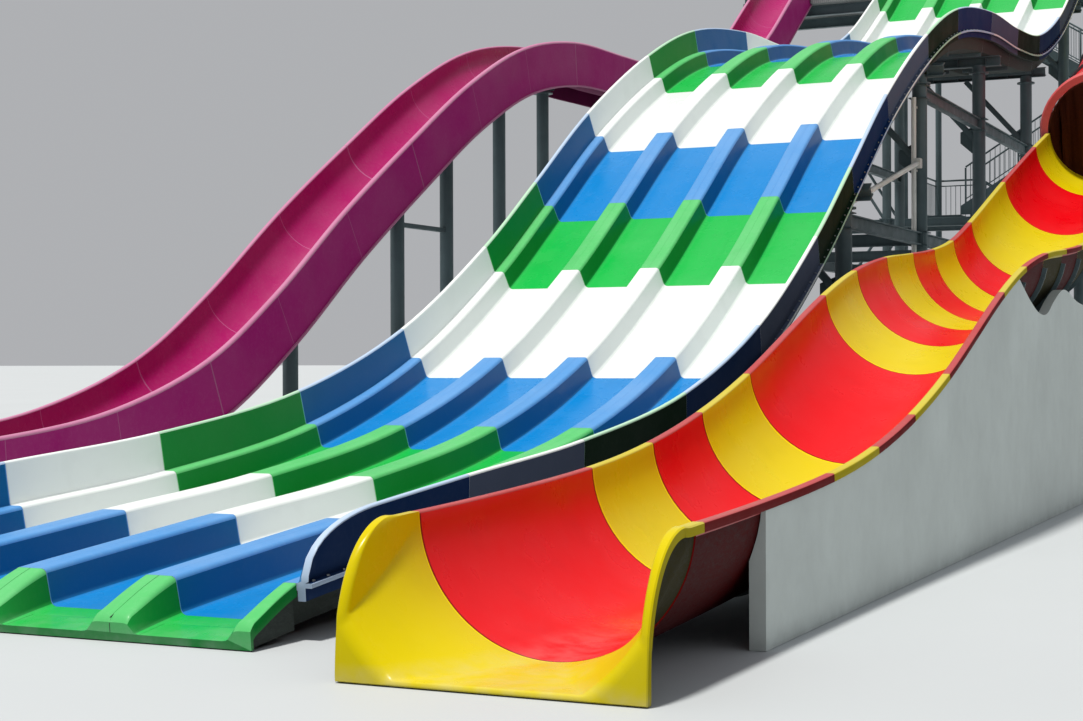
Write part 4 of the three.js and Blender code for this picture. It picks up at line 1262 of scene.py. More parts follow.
def ring_flange(bm, station, start, end):
    """Two thin collars bolted face to face round the outside of the chute."""
    whole = end - start > 6.2
    count = 40 if whole else 22
    inner_x, inner_z = CHUTE_HALF + CHUTE_SHELL - 0.004, CHUTE_DEPTH + CHUTE_SHELL - 0.004

    def spot(share, grow, y):
        angle = start + (end - start) * share
        x, z = (inner_x + grow) * math.cos(angle), (inner_z + grow) * math.sin(angle)
        return Vector((CHUTE_X + x, y, z))

    for side in (-1, 1):
        rim = []
        for i in range(count if whole else count + 1):
            pair = [station @ spot(i / count, grow, side * JOINT_GAP) for grow in (0.0, RING_PROUD)]
            rim.append([bm.verts.new(place) for place in pair])
        closed = rim[1:] + rim[:1] if whole else rim[1:]
        faces = [bm.faces.new((a[0], a[1], b[1], b[0])) for a, b in zip(rim, closed)]
        made = bmesh.ops.extrude_face_region(bm, geom=faces)
        push = station.to_3x3() @ Vector((0, side * JOINT_PLATE, 0))
        bmesh.ops.translate(bm, vec=push, verts=made_of(made, BMVert))
        turn = Matrix.Rotation(-side * math.pi / 2, 4, "X")
        bolts = count // 2
        for k in range(bolts):
            head = spot((k + 0.5) / bolts, RING_PROUD * 0.6, side * (JOINT_GAP + JOINT_PLATE))
            add_bolt(bm, station @ Matrix.Translation(head) @ turn, *SMALL_BOLT)


def add_loop(bm, place, half, depth, segments):
    """An open ring of edges round a slide line, and its edges as a list."""
    verts = bmesh.ops.create_circle(bm, cap_ends=False, segments=segments, radius=1.0)["verts"]
    size = Matrix.Diagonal((half, 1.0, depth, 1.0))
    upright = Matrix.Rotation(math.pi / 2, 4, "X")
    bmesh.ops.transform(bm, matrix=place @ size @ upright, verts=verts)
    return list({edge for vert in verts for edge in vert.link_edges})


def build_tube(settings):
    """The closed tube in two lengths, with a rolled collar at its mouth."""
    steps = 20
    middle = CHUTE_HALF + CHUTE_SHELL * 0.4
    for name, node, first, last, colour in (
        ("tube_lower_length", "chute_tube_lower", 1, 3, "red"),
        ("tube_upper_length", "chute_tube_upper", 3, 5, "yellow"),
    ):
        bm = bmesh.new()
        t0, t1 = first / TUBE.spans, last / TUBE.spans
        starts, ends = [], []
        for grow in (CHUTE_SHELL, 0.0):
            before = TUBE.frame(t0 + TUBE_START * (t1 - t0))
            place = before @ Matrix.Translation((CHUTE_X, 0, 0))
            edges = add_loop(bm, place, CHUTE_HALF + grow, CHUTE_DEPTH + grow, 48)
            starts += edges
            for step in range(1, steps + 1):
                share = TUBE_TRIM + (1 - 2 * TUBE_TRIM) * step / steps
                after = TUBE.frame(t0 + (t1 - t0) * share)
                made = bmesh.ops.extrude_edge_only(bm, edges=edges)
                edges = made_of(made, BMEdge)
                bmesh.ops.transform(
                    bm, matrix=after @ before.inverted(), verts=made_of(made, BMVert)
                )
                before = after
            ends += edges
        bmesh.ops.bridge_loops(bm, edges=starts)
        bmesh.ops.bridge_loops(bm, edges=ends)
        for face in bm.faces:
            centre = face.calc_center_median()
            near = min(
                (TUBE.frame(t0 + (t1 - t0) * k / 40).inverted() @ centre for k in range(41)),
                key=lambda p: abs(p.y),
            )
            reach = math.hypot(near.x - CHUTE_X, near.z * CHUTE_HALF / CHUTE_DEPTH)
            face.material_index = 0 if reach < middle else 1
        # The inside is a dark brown laminate, painted shade where no light reaches into the tube.
        tube_inside = material("tube_inside", laminate, linear((78, 36, 22)))
        outside = material(f"tube_{colour}_outside", gelcoat, getattr(settings, colour))
        finish_piece(name, bm, [tube_inside, outside], [node])
    build_collar(settings)


def build_collar(settings):
    """The rolled collar that stands round the tube's mouth."""
    bm = bmesh.new()
    outline = [(0.0, 0.0), (0.0, 0.1), (0.03, 0.125), (0.1, 0.125), (0.135, 0.09), (0.14, 0.0)]
    station = TUBE.frame(1.0005 / TUBE.spans)
    loops = []
    for y, grow in outline:
        place = station @ Matrix.Translation((CHUTE_X, y, 0))
        grow += 0.03
        loops.append(add_loop(bm, place, CHUTE_HALF + grow, CHUTE_DEPTH + grow, 56))
    for a, b in zip(loops, loops[1:] + loops[:1]):
        bmesh.ops.bridge_loops(bm, edges=a + b)
    rim = material("tube_collar_rim", gelcoat, chalky(settings.red, 0.12), 0.35, 0.4, 0.1)
    finish_piece("tube_mouth_collar", bm, [rim], sharp=50.0)


# Open flume.


def flume_outline(rim_round):
    """A trough between two flat outer sides that hang lower and end in a small flange."""
    straight = FLUME_DEPTH - FLUME_HALF
    root = FLUME_HALF + FLUME_SHELL
    edge = FLUME_X - FLUME_HALF - FLUME_RIM
    inner = edge + FLUME_SKIRT_THICK
    flange = edge - FLUME_SKIRT_FLANGE
    side = [
        (inner, -straight, 0),
        (inner, -FLUME_SKIRT, 0),
        (flange, -FLUME_SKIRT, 0.007),
        (flange, FLUME_SKIRT_THICK - FLUME_SKIRT, 0.007),
        (edge, FLUME_SKIRT_THICK - FLUME_SKIRT, 0),
        (edge, 0, rim_round),
    ]
    return (
        [(FLUME_X - FLUME_HALF, 0, 0.024)]
        + arc(FLUME_HALF, FLUME_HALF, FLUME_X, 1, 24, straight)
        + [(FLUME_X + FLUME_HALF, 0, 0.024)]
        + mirrored(side, FLUME_X)
        + arc(root, root, FLUME_X, -1, 24, straight)[1:-1]
        + side
    )


FLUME_INSIDE, FLUME_RIM_CHALK_HIGHLIGHT, FLUME_OUTSIDE, FLUME_UNDER, FLUME_SEAM = range(5)


def flume_face(x, h, s):
    """Inside, rim, outer sides, underside or seams of the flume."""
    offset = abs(x - FLUME_X)
    straight = FLUME_DEPTH - FLUME_HALF
    edge = FLUME_HALF + FLUME_RIM
    seam = s[1] - s[0] < 0.006
    if s[0] == s[1]:
        return FLUME_RIM_CHALK_HIGHLIGHT
    if h > -0.04 and offset > FLUME_HALF - 0.006 or offset > edge + 0.002:
        return FLUME_RIM_CHALK_HIGHLIGHT
    if offset > edge - 0.004:
        return FLUME_SEAM if seam else FLUME_OUTSIDE
    reach = offset if h > -straight else math.hypot(offset, h + straight)
    if reach < FLUME_HALF + FLUME_SHELL * 0.5:
        return FLUME_SEAM if seam else FLUME_INSIDE
    return FLUME_UNDER


def flume_finishes(settings):
    """Inside, rim, outer sides, underside and seams of the flume; the rim is chalky and paler as a
    painted highlight.
    """
    inside, sides = settings.inside, settings.sides
    coat = coats("flume")
    return [
        coat("inside", inside, rough=0.26, fade=0.25, flow=0.2, shine=0.16),
        # Rim: chalking, paler in part as a painted highlight on its rounded top.
        coat("rim", chalky(sides, 0.2), rough=0.4, fade=0.4, flow=0.1, shine=0.1),
        coat("outside", sides, rough=0.4, fade=0.3, flow=0.2, shine=0.1),
        material("flume_underside", laminate, shade(sides, 0.35)),
        coat("seam", chalky(sides, 0.12), rough=0.4, fade=0.4, flow=0.1, shine=0.1),
    ]


def build_flume(settings):
    """The deep trough in five lengths, with a seam at every joint of its mouldings."""
    outline = flume_outline(settings.rim_round)
    for i, (a, b) in enumerate(zip(FLUME_SPLITS, FLUME_SPLITS[1:])):
        seams = [(k - a) / (b - a) for k in range(a + 1, b)]
        bm = moulding(outline, FLUME, a / FLUME.spans, b / FLUME.spans, (b - a) * 7, seams=seams,
                      strip=0.01)
        paint(bm, flume_face)
        finish_piece(f"flume_length_{i + 1}", bm, flume_finishes(settings),
                     [f"flume_{i + 1}"])


# Steelwork.


def add_trestle(bm, y, tall, radius):
    """Two columns and a cross beam that follows the slope of the lanes."""
    under = LANE_SHELL + HEAD_HALF
    t, _, slope = LANES.at(y - under * math.sin(LANES.at(y)[2]))
    station = Matrix.Translation(-SHIFT) @ LANES.frame(t)
    start = station @ Vector((-HEAD_OVERHANG, 0, -under - REST_GAP))
    matrix = Matrix.Translation(start) @ Matrix.Rotation(slope, 4, "X")
    length = LANE_COUNT + 2 * HEAD_OVERHANG
    inside, web = HEAD_HALF - BEAM_FLANGE, BEAM_WEB / 2
    for low, high in (
        ((0, -HEAD_HALF, inside), (length, HEAD_HALF, HEAD_HALF)),
        ((0, -HEAD_HALF, -HEAD_HALF), (length, HEAD_HALF, -inside)),
        ((0, -web, -inside), (length, web, inside)),
    ):
        add_box(bm, low, high, matrix, 0.002)
    for k in range(HEAD_STIFFENERS):
        x = length * (k + 0.5) / HEAD_STIFFENERS
        add_box(bm, (x - 0.005, -0.075, -inside), (x + 0.005, 0.075, inside), matrix)
    top = start.z - 0.06
    for x in TRESTLE_X:
        add_column(bm, x, y, max(top, 0.1), radius)
    if not tall:
        return
    head = LANES.at(y)[1] - 0.16
    foot = head - KNEE_DROP
    for side, x in zip((1, -1), TRESTLE_X):
        add_round(bm, (x, y, top - 0.14), (x, y, top - 0.115), radius * 1.5, COLUMN_SIDES)
        add_flat(bm, (x, y, foot), (x + side * KNEE_REACH, y, head - 0.06), KNEE_SIZE, KNEE_SIZE)
        corners = [(side * reach, rise) for reach, rise in KNEE_PLATE]
        add_plate(bm, corners, Matrix.Translation((x, y, foot)), GUSSET)


def build_trestles(settings):
    """Two columns under the lanes at each trestle, with ties on to the next one."""
    radius = settings.column_radius
    for i, y in enumerate(TRESTLES):
        bm = bmesh.new()
        z = LANES.at(y)[1]
        add_trestle(bm, y, z > TALL_FROM, radius)
        if z > CROSS_FROM:
            level = TRESTLE_TIES[0][0]
            add_beam(bm, (TRESTLE_X[0], y, level), (TRESTLE_X[1], y, level), TIE_BEAM)
        for level, start in TRESTLE_TIES:
            if y < start or y == TRESTLES[-1]:
                continue
            end = TRESTLES[i + 1] - radius - BUTT_GAP
            for x in TRESTLE_X:
                add_beam(bm, (x, y, level), (x, end, level), TIE_BEAM)
                add_end_plate(bm, x, end - END_PLATE, level - 0.12, level + 0.12, 0.075)
                add_pad(bm, x, y, level - 0.1, 0.13, 0.015)
                add_pad(bm, x, y, level + 0.085, 0.13, 0.015)
        finish_steel(f"lane_trestle_steel_{i + 1}", bm, f"lane_trestle_{i + 1}")


def add_saddle(bm, line, x, y, depth_at, plate_half):
    """A cradle plate shaped to the belly of a slide, with a bearing strip along its edge."""
    _, z, slope = line.at(y)
    steps = 16
    top = []
    for i in range(steps + 1):
        offset = plate_half * (2 * i / steps - 1)
        top.append((offset, z - depth_at(offset) / math.cos(slope) - 0.001))
    bottom = min(point[1] for point in top)
    low = max(bottom - 0.15, 0.0)
    outline = [(-plate_half * 0.5, low), (plate_half * 0.5, low)] + top[::-1]
    for dy in (-0.045, 0.045):
        add_plate(bm, outline, Matrix.Translation((x, y + dy, 0)), GUSSET)
    for (x0, z0), (x1, z1) in zip(top, top[1:]):
        add_flat(bm, (x + x0, y, z0 - 0.008), (x + x1, y, z1 - 0.008), 0.116, 0.014, 0)
    return bottom


def build_posts(settings):
    """Rows of round posts with cradles, tied together by a low rail."""
    radius = settings.column_radius
    straight = FLUME_DEPTH - FLUME_HALF
    flume_root = FLUME_HALF + FLUME_SHELL
    chute_root = CHUTE_HALF + CHUTE_SHELL
    chute_deep = CHUTE_DEPTH + CHUTE_SHELL

    def flume_belly(offset):
        return straight + math.sqrt(max(0.0, flume_root**2 - offset**2))

    def chute_belly(offset):
        return chute_deep * math.sqrt(max(0.0, 1 - (offset / chute_root) ** 2))

    for name, node, x, posts, belly, plate in (
        ("flume_post_row", "flume_posts", FLUME_X, FLUME_POSTS, flume_belly, FLUME_SADDLE),
        ("chute_post_row", "chute_posts", CHUTE_X, CHUTE_POSTS, chute_belly, CHUTE_SADDLE),
    ):
        bm = bmesh.new()
        for y in posts:
            line = FLUME if x < 0 else (CHUTE if y < CHUTE_JOINTS[-1][0] else TUBE)
            under = add_saddle(bm, line, x, y, belly, plate)
            add_column(bm, x, y, max(under - 0.02, 0.1), radius)
            if under > 1.5:
                ring = under - 0.2
                add_round(bm, (x, y, ring), (x, y, ring + 0.02), radius * 1.7, COLUMN_SIDES)
        add_flat(bm, (x, posts[0], POST_RAIL_Z), (x, posts[-1], POST_RAIL_Z), 0.09, 0.12)
        if x == FLUME_X:
            y0, y1, z = FLUME_BRACE
            add_flat(bm, (x, y0, z), (x, y1, z), 0.07, 0.07)
        finish_steel(name, bm, node)


PIPE_COLOUR = linear((232, 232, 226))


def build_pipes():
    """Two pale pipes and a pale strut on each side of the trestles."""
    bm = bmesh.new()
    for x, way in zip(TRESTLE_X, (1, -1)):
        out = x + way * PIPE_OFF
        for y in PIPES_Y:
            add_round(bm, (out, y, PIPE_FOOT), (out, y, PIPE_TOP), PIPE_RADIUS, 16)
            for z in PIPE_CLIPS:
                add_box(bm, (x, y - 0.015, z), (out, y + 0.015, z + 0.03))
        add_round(bm, (x, *STRUT_LOW), (x, *STRUT_HIGH), PIPE_RADIUS, 16)
        for y, z in (STRUT_LOW, STRUT_HIGH):
            add_pad(bm, x, y, z - 0.07, 0.06, 0.14, 0.01)
    shift_all(bm)
    finish_piece("trestle_pipes", bm, [material("pale_pipe", painted_steel, PIPE_COLOUR)])


# Start tower.


def build_tower(settings):
    """A front and a back row of legs with beams, thin braces and gusset plates."""
    radius = settings.column_radius
    front, back = TOWER_LEGS_Y
    first, last = TOWER_LEGS_X[0], TOWER_LEGS_X[-1]
    near, far = front + radius + BUTT_GAP, back - radius - BUTT_GAP
    upper = LEG_TOP - 0.12
    for row, y, level, beam, start, end, plate_y in (
        ("front", front, TOWER_MIDDLE, TOWER_BEAM, front, far, far - END_PLATE),
        ("back", back, upper, DECK_BEAM, near, back, near),
    ):
        bm = bmesh.new()
        add_beam(bm, (first, y, TOWER_MIDDLE), (last, y, TOWER_MIDDLE), TOWER_BEAM)
        add_beam(bm, (first, y, upper), (last, y, upper), DECK_BEAM)
        for x in TOWER_LEGS_X:
            add_column(bm, x, y, LEG_TOP, radius)
            add_pad(bm, x, y, TOWER_MIDDLE - 0.12, 0.15, 0.02)
            add_pad(bm, x, y, TOWER_MIDDLE + 0.1, 0.15, 0.02)
            add_beam(bm, (x, start, level), (x, end, level), beam)
            add_end_plate(bm, x, plate_y, level - 0.13, level + 0.118, 0.08)
        for left, right in (TOWER_LEGS_X[:2], TOWER_LEGS_X[2:]):
            add_round(bm, (left, y, 0.3), (right, y, TOWER_MIDDLE), BRACE_RADIUS, 16)
            add_round(bm, (right, y, TOWER_MIDDLE), (left, y, LEG_TOP - 0.3), BRACE_RADIUS, 16)
        finish_steel(f"tower_steel_{row}", bm, f"tower_frame_{row}")


def add_guard(bm, a, b, foot, settings):
    """A length of guard rail: posts, handrail, two bars and upright balusters."""
    top = foot + settings.rail_height
    a, b = Vector((*a, 0.0)), Vector((*b, 0.0))
    run = b - a
    count = max(1, round(run.length / POST_SPACING))
    for k in range(count + 1):
        spot = a + run * (k / count)
        add_flat(bm, (*spot.xy, foot), (*spot.xy, top - 0.02), 0.05, 0.05)
        add_pad(bm, *spot.xy, foot, 0.055, 0.01)
    low, high = foot + LOW_BAR, top - HIGH_BAR
    for z, radius in ((top - 0.025, HANDRAIL), (low, GUARD_BAR), (high, GUARD_BAR)):
        add_round(bm, (*a.xy, z), (*b.xy, z), radius, 14)
    bars = int(run.length / settings.baluster_gap)
    for k in range(1, bars):
        spot = a + run * (k / bars)
        add_round(bm, (*spot.xy, low), (*spot.xy, high), BALUSTER, 6)


def build_deck_rails(settings):
    """Guard rails round the deck, open where the slides and the stair meet it."""
    inset, beside = 0.06, 0.15
    x0, x1 = DECK_LEFT + inset, DECK_HIGH.x - SHIFT.x - inset
    y0, y1 = DECK_FRONT + inset, STAIR_Y0 - inset
    stair0, stair1, stair_y = STAIR_X0 + inset, STAIR_X0 + LANDING - inset, STAIR_Y1 - inset
    flume0, flume1 = FLUME_X - FLUME_HALF - beside, FLUME_X + FLUME_HALF + beside
    lanes0, lanes1 = -beside, LANE_COUNT + beside
    chute0, chute1 = CHUTE_X - CHUTE_HALF - beside, CHUTE_X + CHUTE_HALF + beside
    bar = DECK_TOP + settings.rail_height - 0.025
    for side, runs, bars in (
        ("left", [
            ((x0, y0), (x0, y1)),
            ((x0, y1), (stair0, y1)),
            ((stair0, y1), (stair0, stair_y)),
            ((stair0, stair_y), (stair1, stair_y)),
            ((x0, y0), (flume0, y0)),
            ((flume1, y0), (lanes0, y0)),
            ((lanes1, y0), (chute0, y0)),
        ], [(flume0, flume1), (lanes0, lanes1)]),
        ("right", [
            ((x1, y0), (x1, y1)),
            ((x1, y1), (STAIR_X0 + LANDING + inset, y1)),
            ((x1, y0), (chute1, y0)),
        ], []),
    ):
        bm = bmesh.new()
        for a, b in runs:
            add_guard(bm, a, b, DECK_TOP + REST_GAP, settings)
        for left, right in bars:
            add_round(bm, (left, y0, bar), (right, y0, bar), HANDRAIL, 14)
        finish_steel(f"deck_guard_{side}", bm, f"deck_rail_{side}")


def build_landings(settings):
    """Landings at both ends of the flights, with their legs and guards."""
    height = settings.rail_height
    rise = DECK_TOP / FLIGHTS
    front, back = STAIR_Y0 + 0.19, STAIR_Y1 - 0.045
    half = LANDING_EDGE[0] / 2
    for name, node, x0, way, levels, leg_top in (
        ("landing_steel_left", "stair_landing_left", STAIR_X0, -1, (2,), LEG_TOP),
        ("landing_steel_right", "stair_landings_right", STAIR_X1 - LANDING, 1, (1, 3),
         3 * rise + height),
    ):
        bm = bmesh.new()
        x1 = x0 + LANDING
        far, near = (x1, x0) if way > 0 else (x0, x1)
        leg_x = far - way * 0.12
        outer, inner = far - way * 0.04, near + way * half
        for y in (front, STAIR_Y1 - 0.12):
            add_round(bm, (leg_x, y, COLUMN_FOOT), (leg_x, y, leg_top), LANDING_LEG, 24)
            add_pad(bm, leg_x, y, 0, 0.11, FOOT_THICK, 0.003)
        for level in levels:
            top = level * rise
            edge = top - LANDING_PLATE - LANDING_EDGE[1] / 2
            add_box(bm, (x0, STAIR_Y0 + 0.06, top - LANDING_PLATE), (x1, STAIR_Y1 - 0.02, top),
                    None, 0.002)
            for y in (STAIR_Y0 + 0.09, STAIR_Y1 - 0.05):
                add_flat(bm, (x0, y, edge), (x1, y, edge), *LANDING_EDGE, 0.003)
            for x in (x0 + half, x1 - half):
                add_flat(bm, (x, STAIR_Y0 + 0.12, edge), (x, STAIR_Y1 - 0.08, edge),
                         *LANDING_EDGE, 0.003)
            add_guard(bm, (outer, front), (outer, back), top, settings)
            add_guard(bm, (outer, back), (inner, back), top, settings)
            add_flat(bm, (inner, back, top - 0.02), (inner, back, top + height), 0.054, 0.054)
        finish_steel(name, bm, node)


def build_flight(index, settings):
    """One flight: folded treads between channel stringers, with balustrades."""
    rise = DECK_TOP / FLIGHTS
    run = STAIR_X1 - STAIR_X0 - 2 * LANDING
    step_rise, step_run = rise / STEPS, run / STEPS
    if index % 2 == 0:
        way, start, y0 = 1, STAIR_X0 + LANDING, STAIR_Y0 + FLIGHT_INSET
    else:
        way, start, y0 = -1, STAIR_X1 - LANDING, STAIR_Y1 - FLIGHT_INSET - FLIGHT_WIDE
    y1 = y0 + FLIGHT_WIDE
    z0 = index * rise
    bm = bmesh.new()
    for i in range(STEPS - 1):
        a, b = start + way * i * step_run, start + way * (i + 1) * step_run
        z = z0 + (i + 1) * step_rise
        add_box(bm, (min(a, b), y0 + 0.02, z - TREAD), (max(a, b) + 0.02, y1 - 0.02, z), None,
                0.004)
        add_round(bm, (a, y0 + 0.05, z - 0.006), (a, y1 - 0.05, z - 0.006), 0.008, 8)
    low = z0 + (STEP_GAP if index else 0)
    end = start + way * (run - STEP_GAP)
    corners = [
        (start, low), (start + way * 0.3, low), (end, z0 + rise - 0.24), (end, z0 + rise),
        (end - way * step_run, z0 + rise), (start, low + step_rise + 0.03),
    ]
    xa, xb = start + way * 0.12, start + way * (run - 0.12)
    rail = settings.rail_height - 0.2

    def nosing(x):
        """Height of the line through the front edges of the treads."""
        return z0 + abs(x - start) * rise / run + step_rise

    for y in (y0 + STRINGER / 2, y1 - STRINGER / 2):
        add_plate(bm, corners, Matrix.Translation((0, y, 0)), STRINGER)
        for height, radius in ((rail, 0.022), (LOW_BAR, 0.013)):
            add_round(bm, (xa, y, nosing(xa) + height), (xb, y, nosing(xb) + height), radius, 14)
        for k in range(4):
            x = xa + (xb - xa) * k / 3
            add_flat(bm, (x, y, nosing(x) - 0.14), (x, y, nosing(x) + rail - 0.02), 0.04, 0.04,
                     0.003)
        bars = int(run / settings.baluster_gap)
        for k in range(1, bars):
            x = xa + (xb - xa) * k / bars
            add_round(bm, (x, y, nosing(x) + LOW_BAR), (x, y, nosing(x) + rail), BALUSTER, 6)
    finish_steel(f"flight_steel_{index + 1}", bm, f"stair_flight_{index + 1}")


def build_wall(settings):
    """The rendered wall under the chute's rim, with its back shaped to clear the shell."""
    crest = SlideLine(WALL_TOP)
    count = 48
    reach = WALL_RIM_END - WALL_START
    stations = [(WALL_START + reach * k / count, math.inf) for k in range(count + 1)]
    stations += [tuple(crest.point(k / count)) for k in range(1, count + 1)]

    def ring(y, top):
        _, z, slope = CHUTE.at(y)
        points = [(WALL_FACE, 0.0)]
        for inward, drop in WALL_SECTION:
            points.append((WALL_FACE - inward, min(top, z - drop / math.cos(slope))))
        return points + [(WALL_FACE - WALL_SECTION[-1][0], 0.0)]

    bm = bmesh.new()
    corner = bm.verts.layers.float.new("corner")
    verts = []
    for k, (x, z) in enumerate(ring(*stations[0])):
        verts.append(bm.verts.new((x, stations[0][0], z)))
        verts[-1][corner] = k
    face = bm.faces.new(verts)
    for k, (y, top) in enumerate(stations[1:]):
        points = ring(y, top)
        made = bmesh.ops.extrude_face_region(bm, geom=[face])
        for vert in made_of(made, BMVert):
            x, z = points[round(vert[corner])]
            vert.co = (x, y, z)
        if k:
            bmesh.ops.delete(bm, geom=[face], context="FACES_ONLY")
        face = made_of(made, BMFace)[0]
    shift_all(bm)
    finish_piece("rendered_wall", bm, [material("wall_render", rendered_wall, settings.colour)],
                 ["chute_side_wall"])


def dress_deck(settings):
    """Finishes the deck, whose solid already has its shape."""
    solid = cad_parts["tower_deck"]
    solid.data.materials.clear()
    solid.data.materials.append(material("deck_plate", deck_plate, settings.deck_colour))


# Stage.

SUN_TOWARDS = (-0.1, -0.15, 1.0)
SUN_SPREAD = 6.0
FLOOR_HALF = 400.0
FLOOR_DROP = 0.002


def build_stage(settings):
    """A pale floor, a high soft sun, and the camera."""
    bm = bmesh.new()
    bmesh.ops.create_grid(bm, x_segments=1, y_segments=1, size=FLOOR_HALF)
    bmesh.ops.translate(bm, vec=(0, 0, -FLOOR_DROP), verts=bm.verts)
    mesh = bpy.data.meshes.new("studio_floor")
    bm.to_mesh(mesh)
    bm.free()
    floor = bpy.data.objects.new("studio_floor", mesh)
    bpy.context.scene.collection.objects.link(floor)
    n = Nodes("studio_floor")
    n.colour(n.mix(n.noise(0.2), (0.44, 0.47, 0.49, 1.0), (0.48, 0.51, 0.53, 1.0)))
    n.shader.inputs["Roughness"].default_value = 0.6
    mesh.materials.append(n.material)

    world = bpy.data.worlds.new("studio")
    world.use_nodes = True
    background = world.node_tree.nodes["Background"]
    background.inputs["Color"].default_value = (*settings.fill_colour, 1.0)
    background.inputs["Strength"].default_value = settings.fill_strength
    bpy.context.scene.world = world

    sun = bpy.data.lights.new("key_sun", "SUN")
    sun.energy = settings.sun_strength
    sun.angle = math.radians(SUN_SPREAD)
    sun.color = (1.0, 0.96, 0.9)
    lamp = bpy.data.objects.new("key_sun", sun)
    lamp.rotation_mode = "QUATERNION"
    lamp.rotation_quaternion = Vector(SUN_TOWARDS).to_track_quat("Z", "Y")
    bpy.context.scene.collection.objects.link(lamp)

    scene = bpy.context.scene
    scene.view_settings.view_transform = "Standard"
    camera = bpy.data.cameras.new("camera")
    camera.sensor_width = 36.0
    camera.lens = settings.lens
    camera.clip_end = 2000.0
    eye = bpy.data.objects.new("camera", camera)
    scene.collection.objects.link(eye)
    eye.location = Vector(CAMERA_AT) + SHIFT
    eye.rotation_mode = "XYZ"
    turn = (
        Matrix.Rotation(math.radians(CAMERA_YAW), 4, "Z")
        @ Matrix.Rotation(math.radians(90.0 + CAMERA_PITCH), 4, "X")
        @ Matrix.Rotation(math.radians(CAMERA_ROLL), 4, "Z")
    )
    eye.rotation_euler = turn.to_euler("XYZ")
    scene.camera = eye


# Add-on.


def length_setting(name, description, default):
    return FloatProperty(
        name=name, description=description, default=default, min=0.001, unit="LENGTH"
    )


def colour_setting(name, description, default):
    return FloatVectorProperty(
        name=name, description=description, default=linear(default)[:3], size=3, min=0.0,
        max=1.0, subtype="COLOR",
    )


class SLIDES_PG_lanes(bpy.types.PropertyGroup):
    blue: colour_setting("Blue", "Floor colour of the blue bands", (0, 124, 196))
    white: colour_setting("White", "Floor colour of the white bands", (216, 222, 221))
    green: colour_setting("Green", "Floor colour of the green bands", (10, 174, 68))
    wall_height: length_setting("Wall height", "Top of the outer walls above the floor", 0.585)
    bolt_spacing: length_setting("Bolt spacing", "Distance between the bolts of a wall", 0.22)


class SLIDES_PG_chute(bpy.types.PropertyGroup):
    red: colour_setting("Red", "Inside colour of the red mouldings", (208, 0, 14))
    yellow: colour_setting("Yellow", "Inside colour of the yellow mouldings", (202, 184, 0))
    rim_width: length_setting("Rim width", "Width of the flange along both rims", 0.065)
    rim_drop: length_setting("Rim drop", "Height of the turned-down lip", 0.055)


class SLIDES_PG_flume(bpy.types.PropertyGroup):
    inside: colour_setting("Inside", "Colour of the trough", (164, 10, 98))
    sides: colour_setting("Sides", "Colour of the flat outer sides", (174, 18, 120))
    rim_round: length_setting("Rim radius", "How far the outer edge of the rim is rounded", 0.04)


class SLIDES_PG_steel(bpy.types.PropertyGroup):
    colour: colour_setting("Paint", "Colour of all painted steelwork", (80, 98, 102))
    column_radius: length_setting("Column radius", "Outer radius of columns and posts", 0.105)


class SLIDES_PG_tower(bpy.types.PropertyGroup):
    deck_colour: colour_setting("Deck", "Colour of the deck plate", (140, 146, 145))
    rail_height: length_setting("Rail height", "Height of the guards above the deck", 1.1)
    baluster_gap: length_setting("Baluster gap", "Distance between the guards' bars", 0.125)


class SLIDES_PG_wall(bpy.types.PropertyGroup):
    colour: colour_setting("Render", "Colour of the wall beside the chute", (190, 198, 195))


class SLIDES_PG_stage(bpy.types.PropertyGroup):
    sun_strength: FloatProperty(
        name="Sun strength", description="Strength of the soft key light", default=4.1, min=0.0
    )
    fill_strength: FloatProperty(
        name="Fill strength", description="Strength of the even light round the plant",
        default=0.5, min=0.0,
    )
    fill_colour: colour_setting("Fill colour", "Colour of that even light", (238, 240, 244))
    lens: FloatProperty(
        name="Lens", description="Focal length of the camera", default=61.06, min=10.0,
        unit="CAMERA",
    )


class SLIDES_OT_lanes(bpy.types.Operator):
    """Build the racing lanes with their nose, bolts and flanges"""

    bl_idname = "slides.lanes"
    bl_label = "Racing lanes"

    def execute(self, context):
        settings = context.scene.slides_lanes
        build_nose(settings)
        build_lanes(settings)
        build_start_plates(settings)
        build_lane_fixings(settings)
        return {"FINISHED"}


class SLIDES_OT_chute(bpy.types.Operator):
    """Build the round chute with its exit, closed tube and flanges"""

    bl_idname = "slides.chute"
    bl_label = "Round chute"

    def execute(self, context):
        settings = context.scene.slides_chute
        build_exit(settings)
        build_chute(settings)
        build_tube(settings)
        build_chute_fixings()
        return {"FINISHED"}


class SLIDES_OT_wall(bpy.types.Operator):
    """Build the rendered wall along the chute"""

    bl_idname = "slides.wall"
    bl_label = "Wall beside the chute"

    def execute(self, context):
        build_wall(context.scene.slides_wall)
        return {"FINISHED"}


class SLIDES_OT_flume(bpy.types.Operator):
    """Build the open flume"""

    bl_idname = "slides.flume"
    bl_label = "Open flume"

    def execute(self, context):
        build_flume(context.scene.slides_flume)
        return {"FINISHED"}


class SLIDES_OT_steelwork(bpy.types.Operator):
    """Build the trestles, the rows of posts and the pipes on them"""

    bl_idname = "slides.steelwork"
    bl_label = "Steelwork"

    def execute(self, context):
        settings = context.scene.slides_steel
        build_trestles(settings)
        build_posts(settings)
        build_pipes()
        return {"FINISHED"}


class SLIDES_OT_tower(bpy.types.Operator):
    """Build the start tower, its stair and its guards"""

    bl_idname = "slides.tower"
    bl_label = "Start tower"

    def execute(self, context):
        if "tower_deck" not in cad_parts:
            raise RuntimeError("The packed frame has no tower_deck node")
        settings = context.scene.slides_tower
        build_tower(context.scene.slides_steel)
        build_landings(settings)
        for index in range(FLIGHTS):
            build_flight(index, settings)
        build_deck_rails(settings)
        dress_deck(settings)
        return {"FINISHED"}


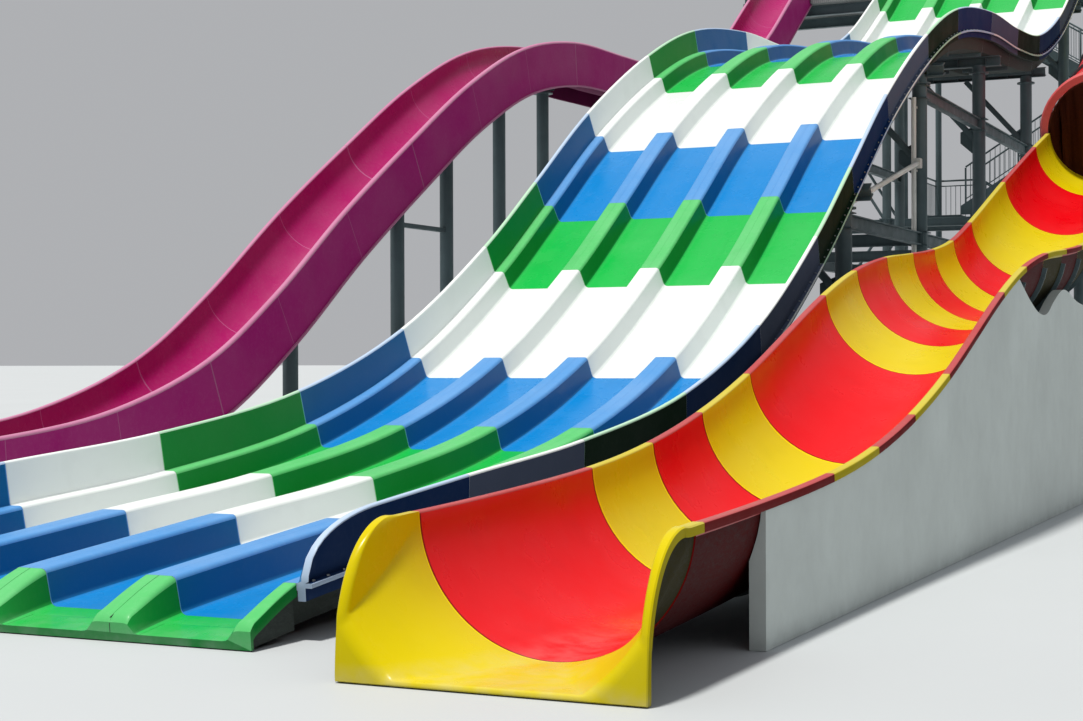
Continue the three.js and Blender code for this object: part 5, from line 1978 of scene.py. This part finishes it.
class SLIDES_OT_stage(bpy.types.Operator):
    """Set the floor, the light and the camera"""

    bl_idname = "slides.stage"
    bl_label = "Stage"

    def execute(self, context):
        build_stage(context.scene.slides_stage)
        return {"FINISHED"}


class SLIDES_PT_panel(bpy.types.Panel):
    bl_idname = "SLIDES_PT_panel"
    bl_label = "Slide tower"
    bl_space_type = "VIEW_3D"
    bl_region_type = "UI"
    bl_category = "Slides"

    def draw(self, context):
        for operator in OPERATORS:
            box = self.layout.box()
            box.operator(operator.bl_idname)
            for group, (kind, owner) in GROUPS.items():
                if owner is operator:
                    for setting in kind.__annotations__:
                        box.prop(getattr(context.scene, group), setting)


OPERATORS = (
    SLIDES_OT_lanes,
    SLIDES_OT_chute,
    SLIDES_OT_wall,
    SLIDES_OT_flume,
    SLIDES_OT_steelwork,
    SLIDES_OT_tower,
    SLIDES_OT_stage,
)
GROUPS = {
    "slides_lanes": (SLIDES_PG_lanes, SLIDES_OT_lanes),
    "slides_chute": (SLIDES_PG_chute, SLIDES_OT_chute),
    "slides_wall": (SLIDES_PG_wall, SLIDES_OT_wall),
    "slides_flume": (SLIDES_PG_flume, SLIDES_OT_flume),
    "slides_steel": (SLIDES_PG_steel, SLIDES_OT_steelwork),
    "slides_tower": (SLIDES_PG_tower, SLIDES_OT_tower),
    "slides_stage": (SLIDES_PG_stage, SLIDES_OT_stage),
}
CLASSES = (*(kind for kind, _ in GROUPS.values()), *OPERATORS, SLIDES_PT_panel)


def register():
    for cls in CLASSES:
        bpy.utils.register_class(cls)
    for group, (kind, _) in GROUPS.items():
        setattr(bpy.types.Scene, group, PointerProperty(type=kind))


def unregister():
    for group in GROUPS:
        delattr(bpy.types.Scene, group)
    for cls in reversed(CLASSES):
        bpy.utils.unregister_class(cls)


def main():
    register()
    bpy.ops.slides.lanes()
    bpy.ops.slides.chute()
    bpy.ops.slides.wall()
    bpy.ops.slides.flume()
    bpy.ops.slides.steelwork()
    bpy.ops.slides.tower()
    bpy.ops.slides.stage()


if __name__ == "__main__":
    main()
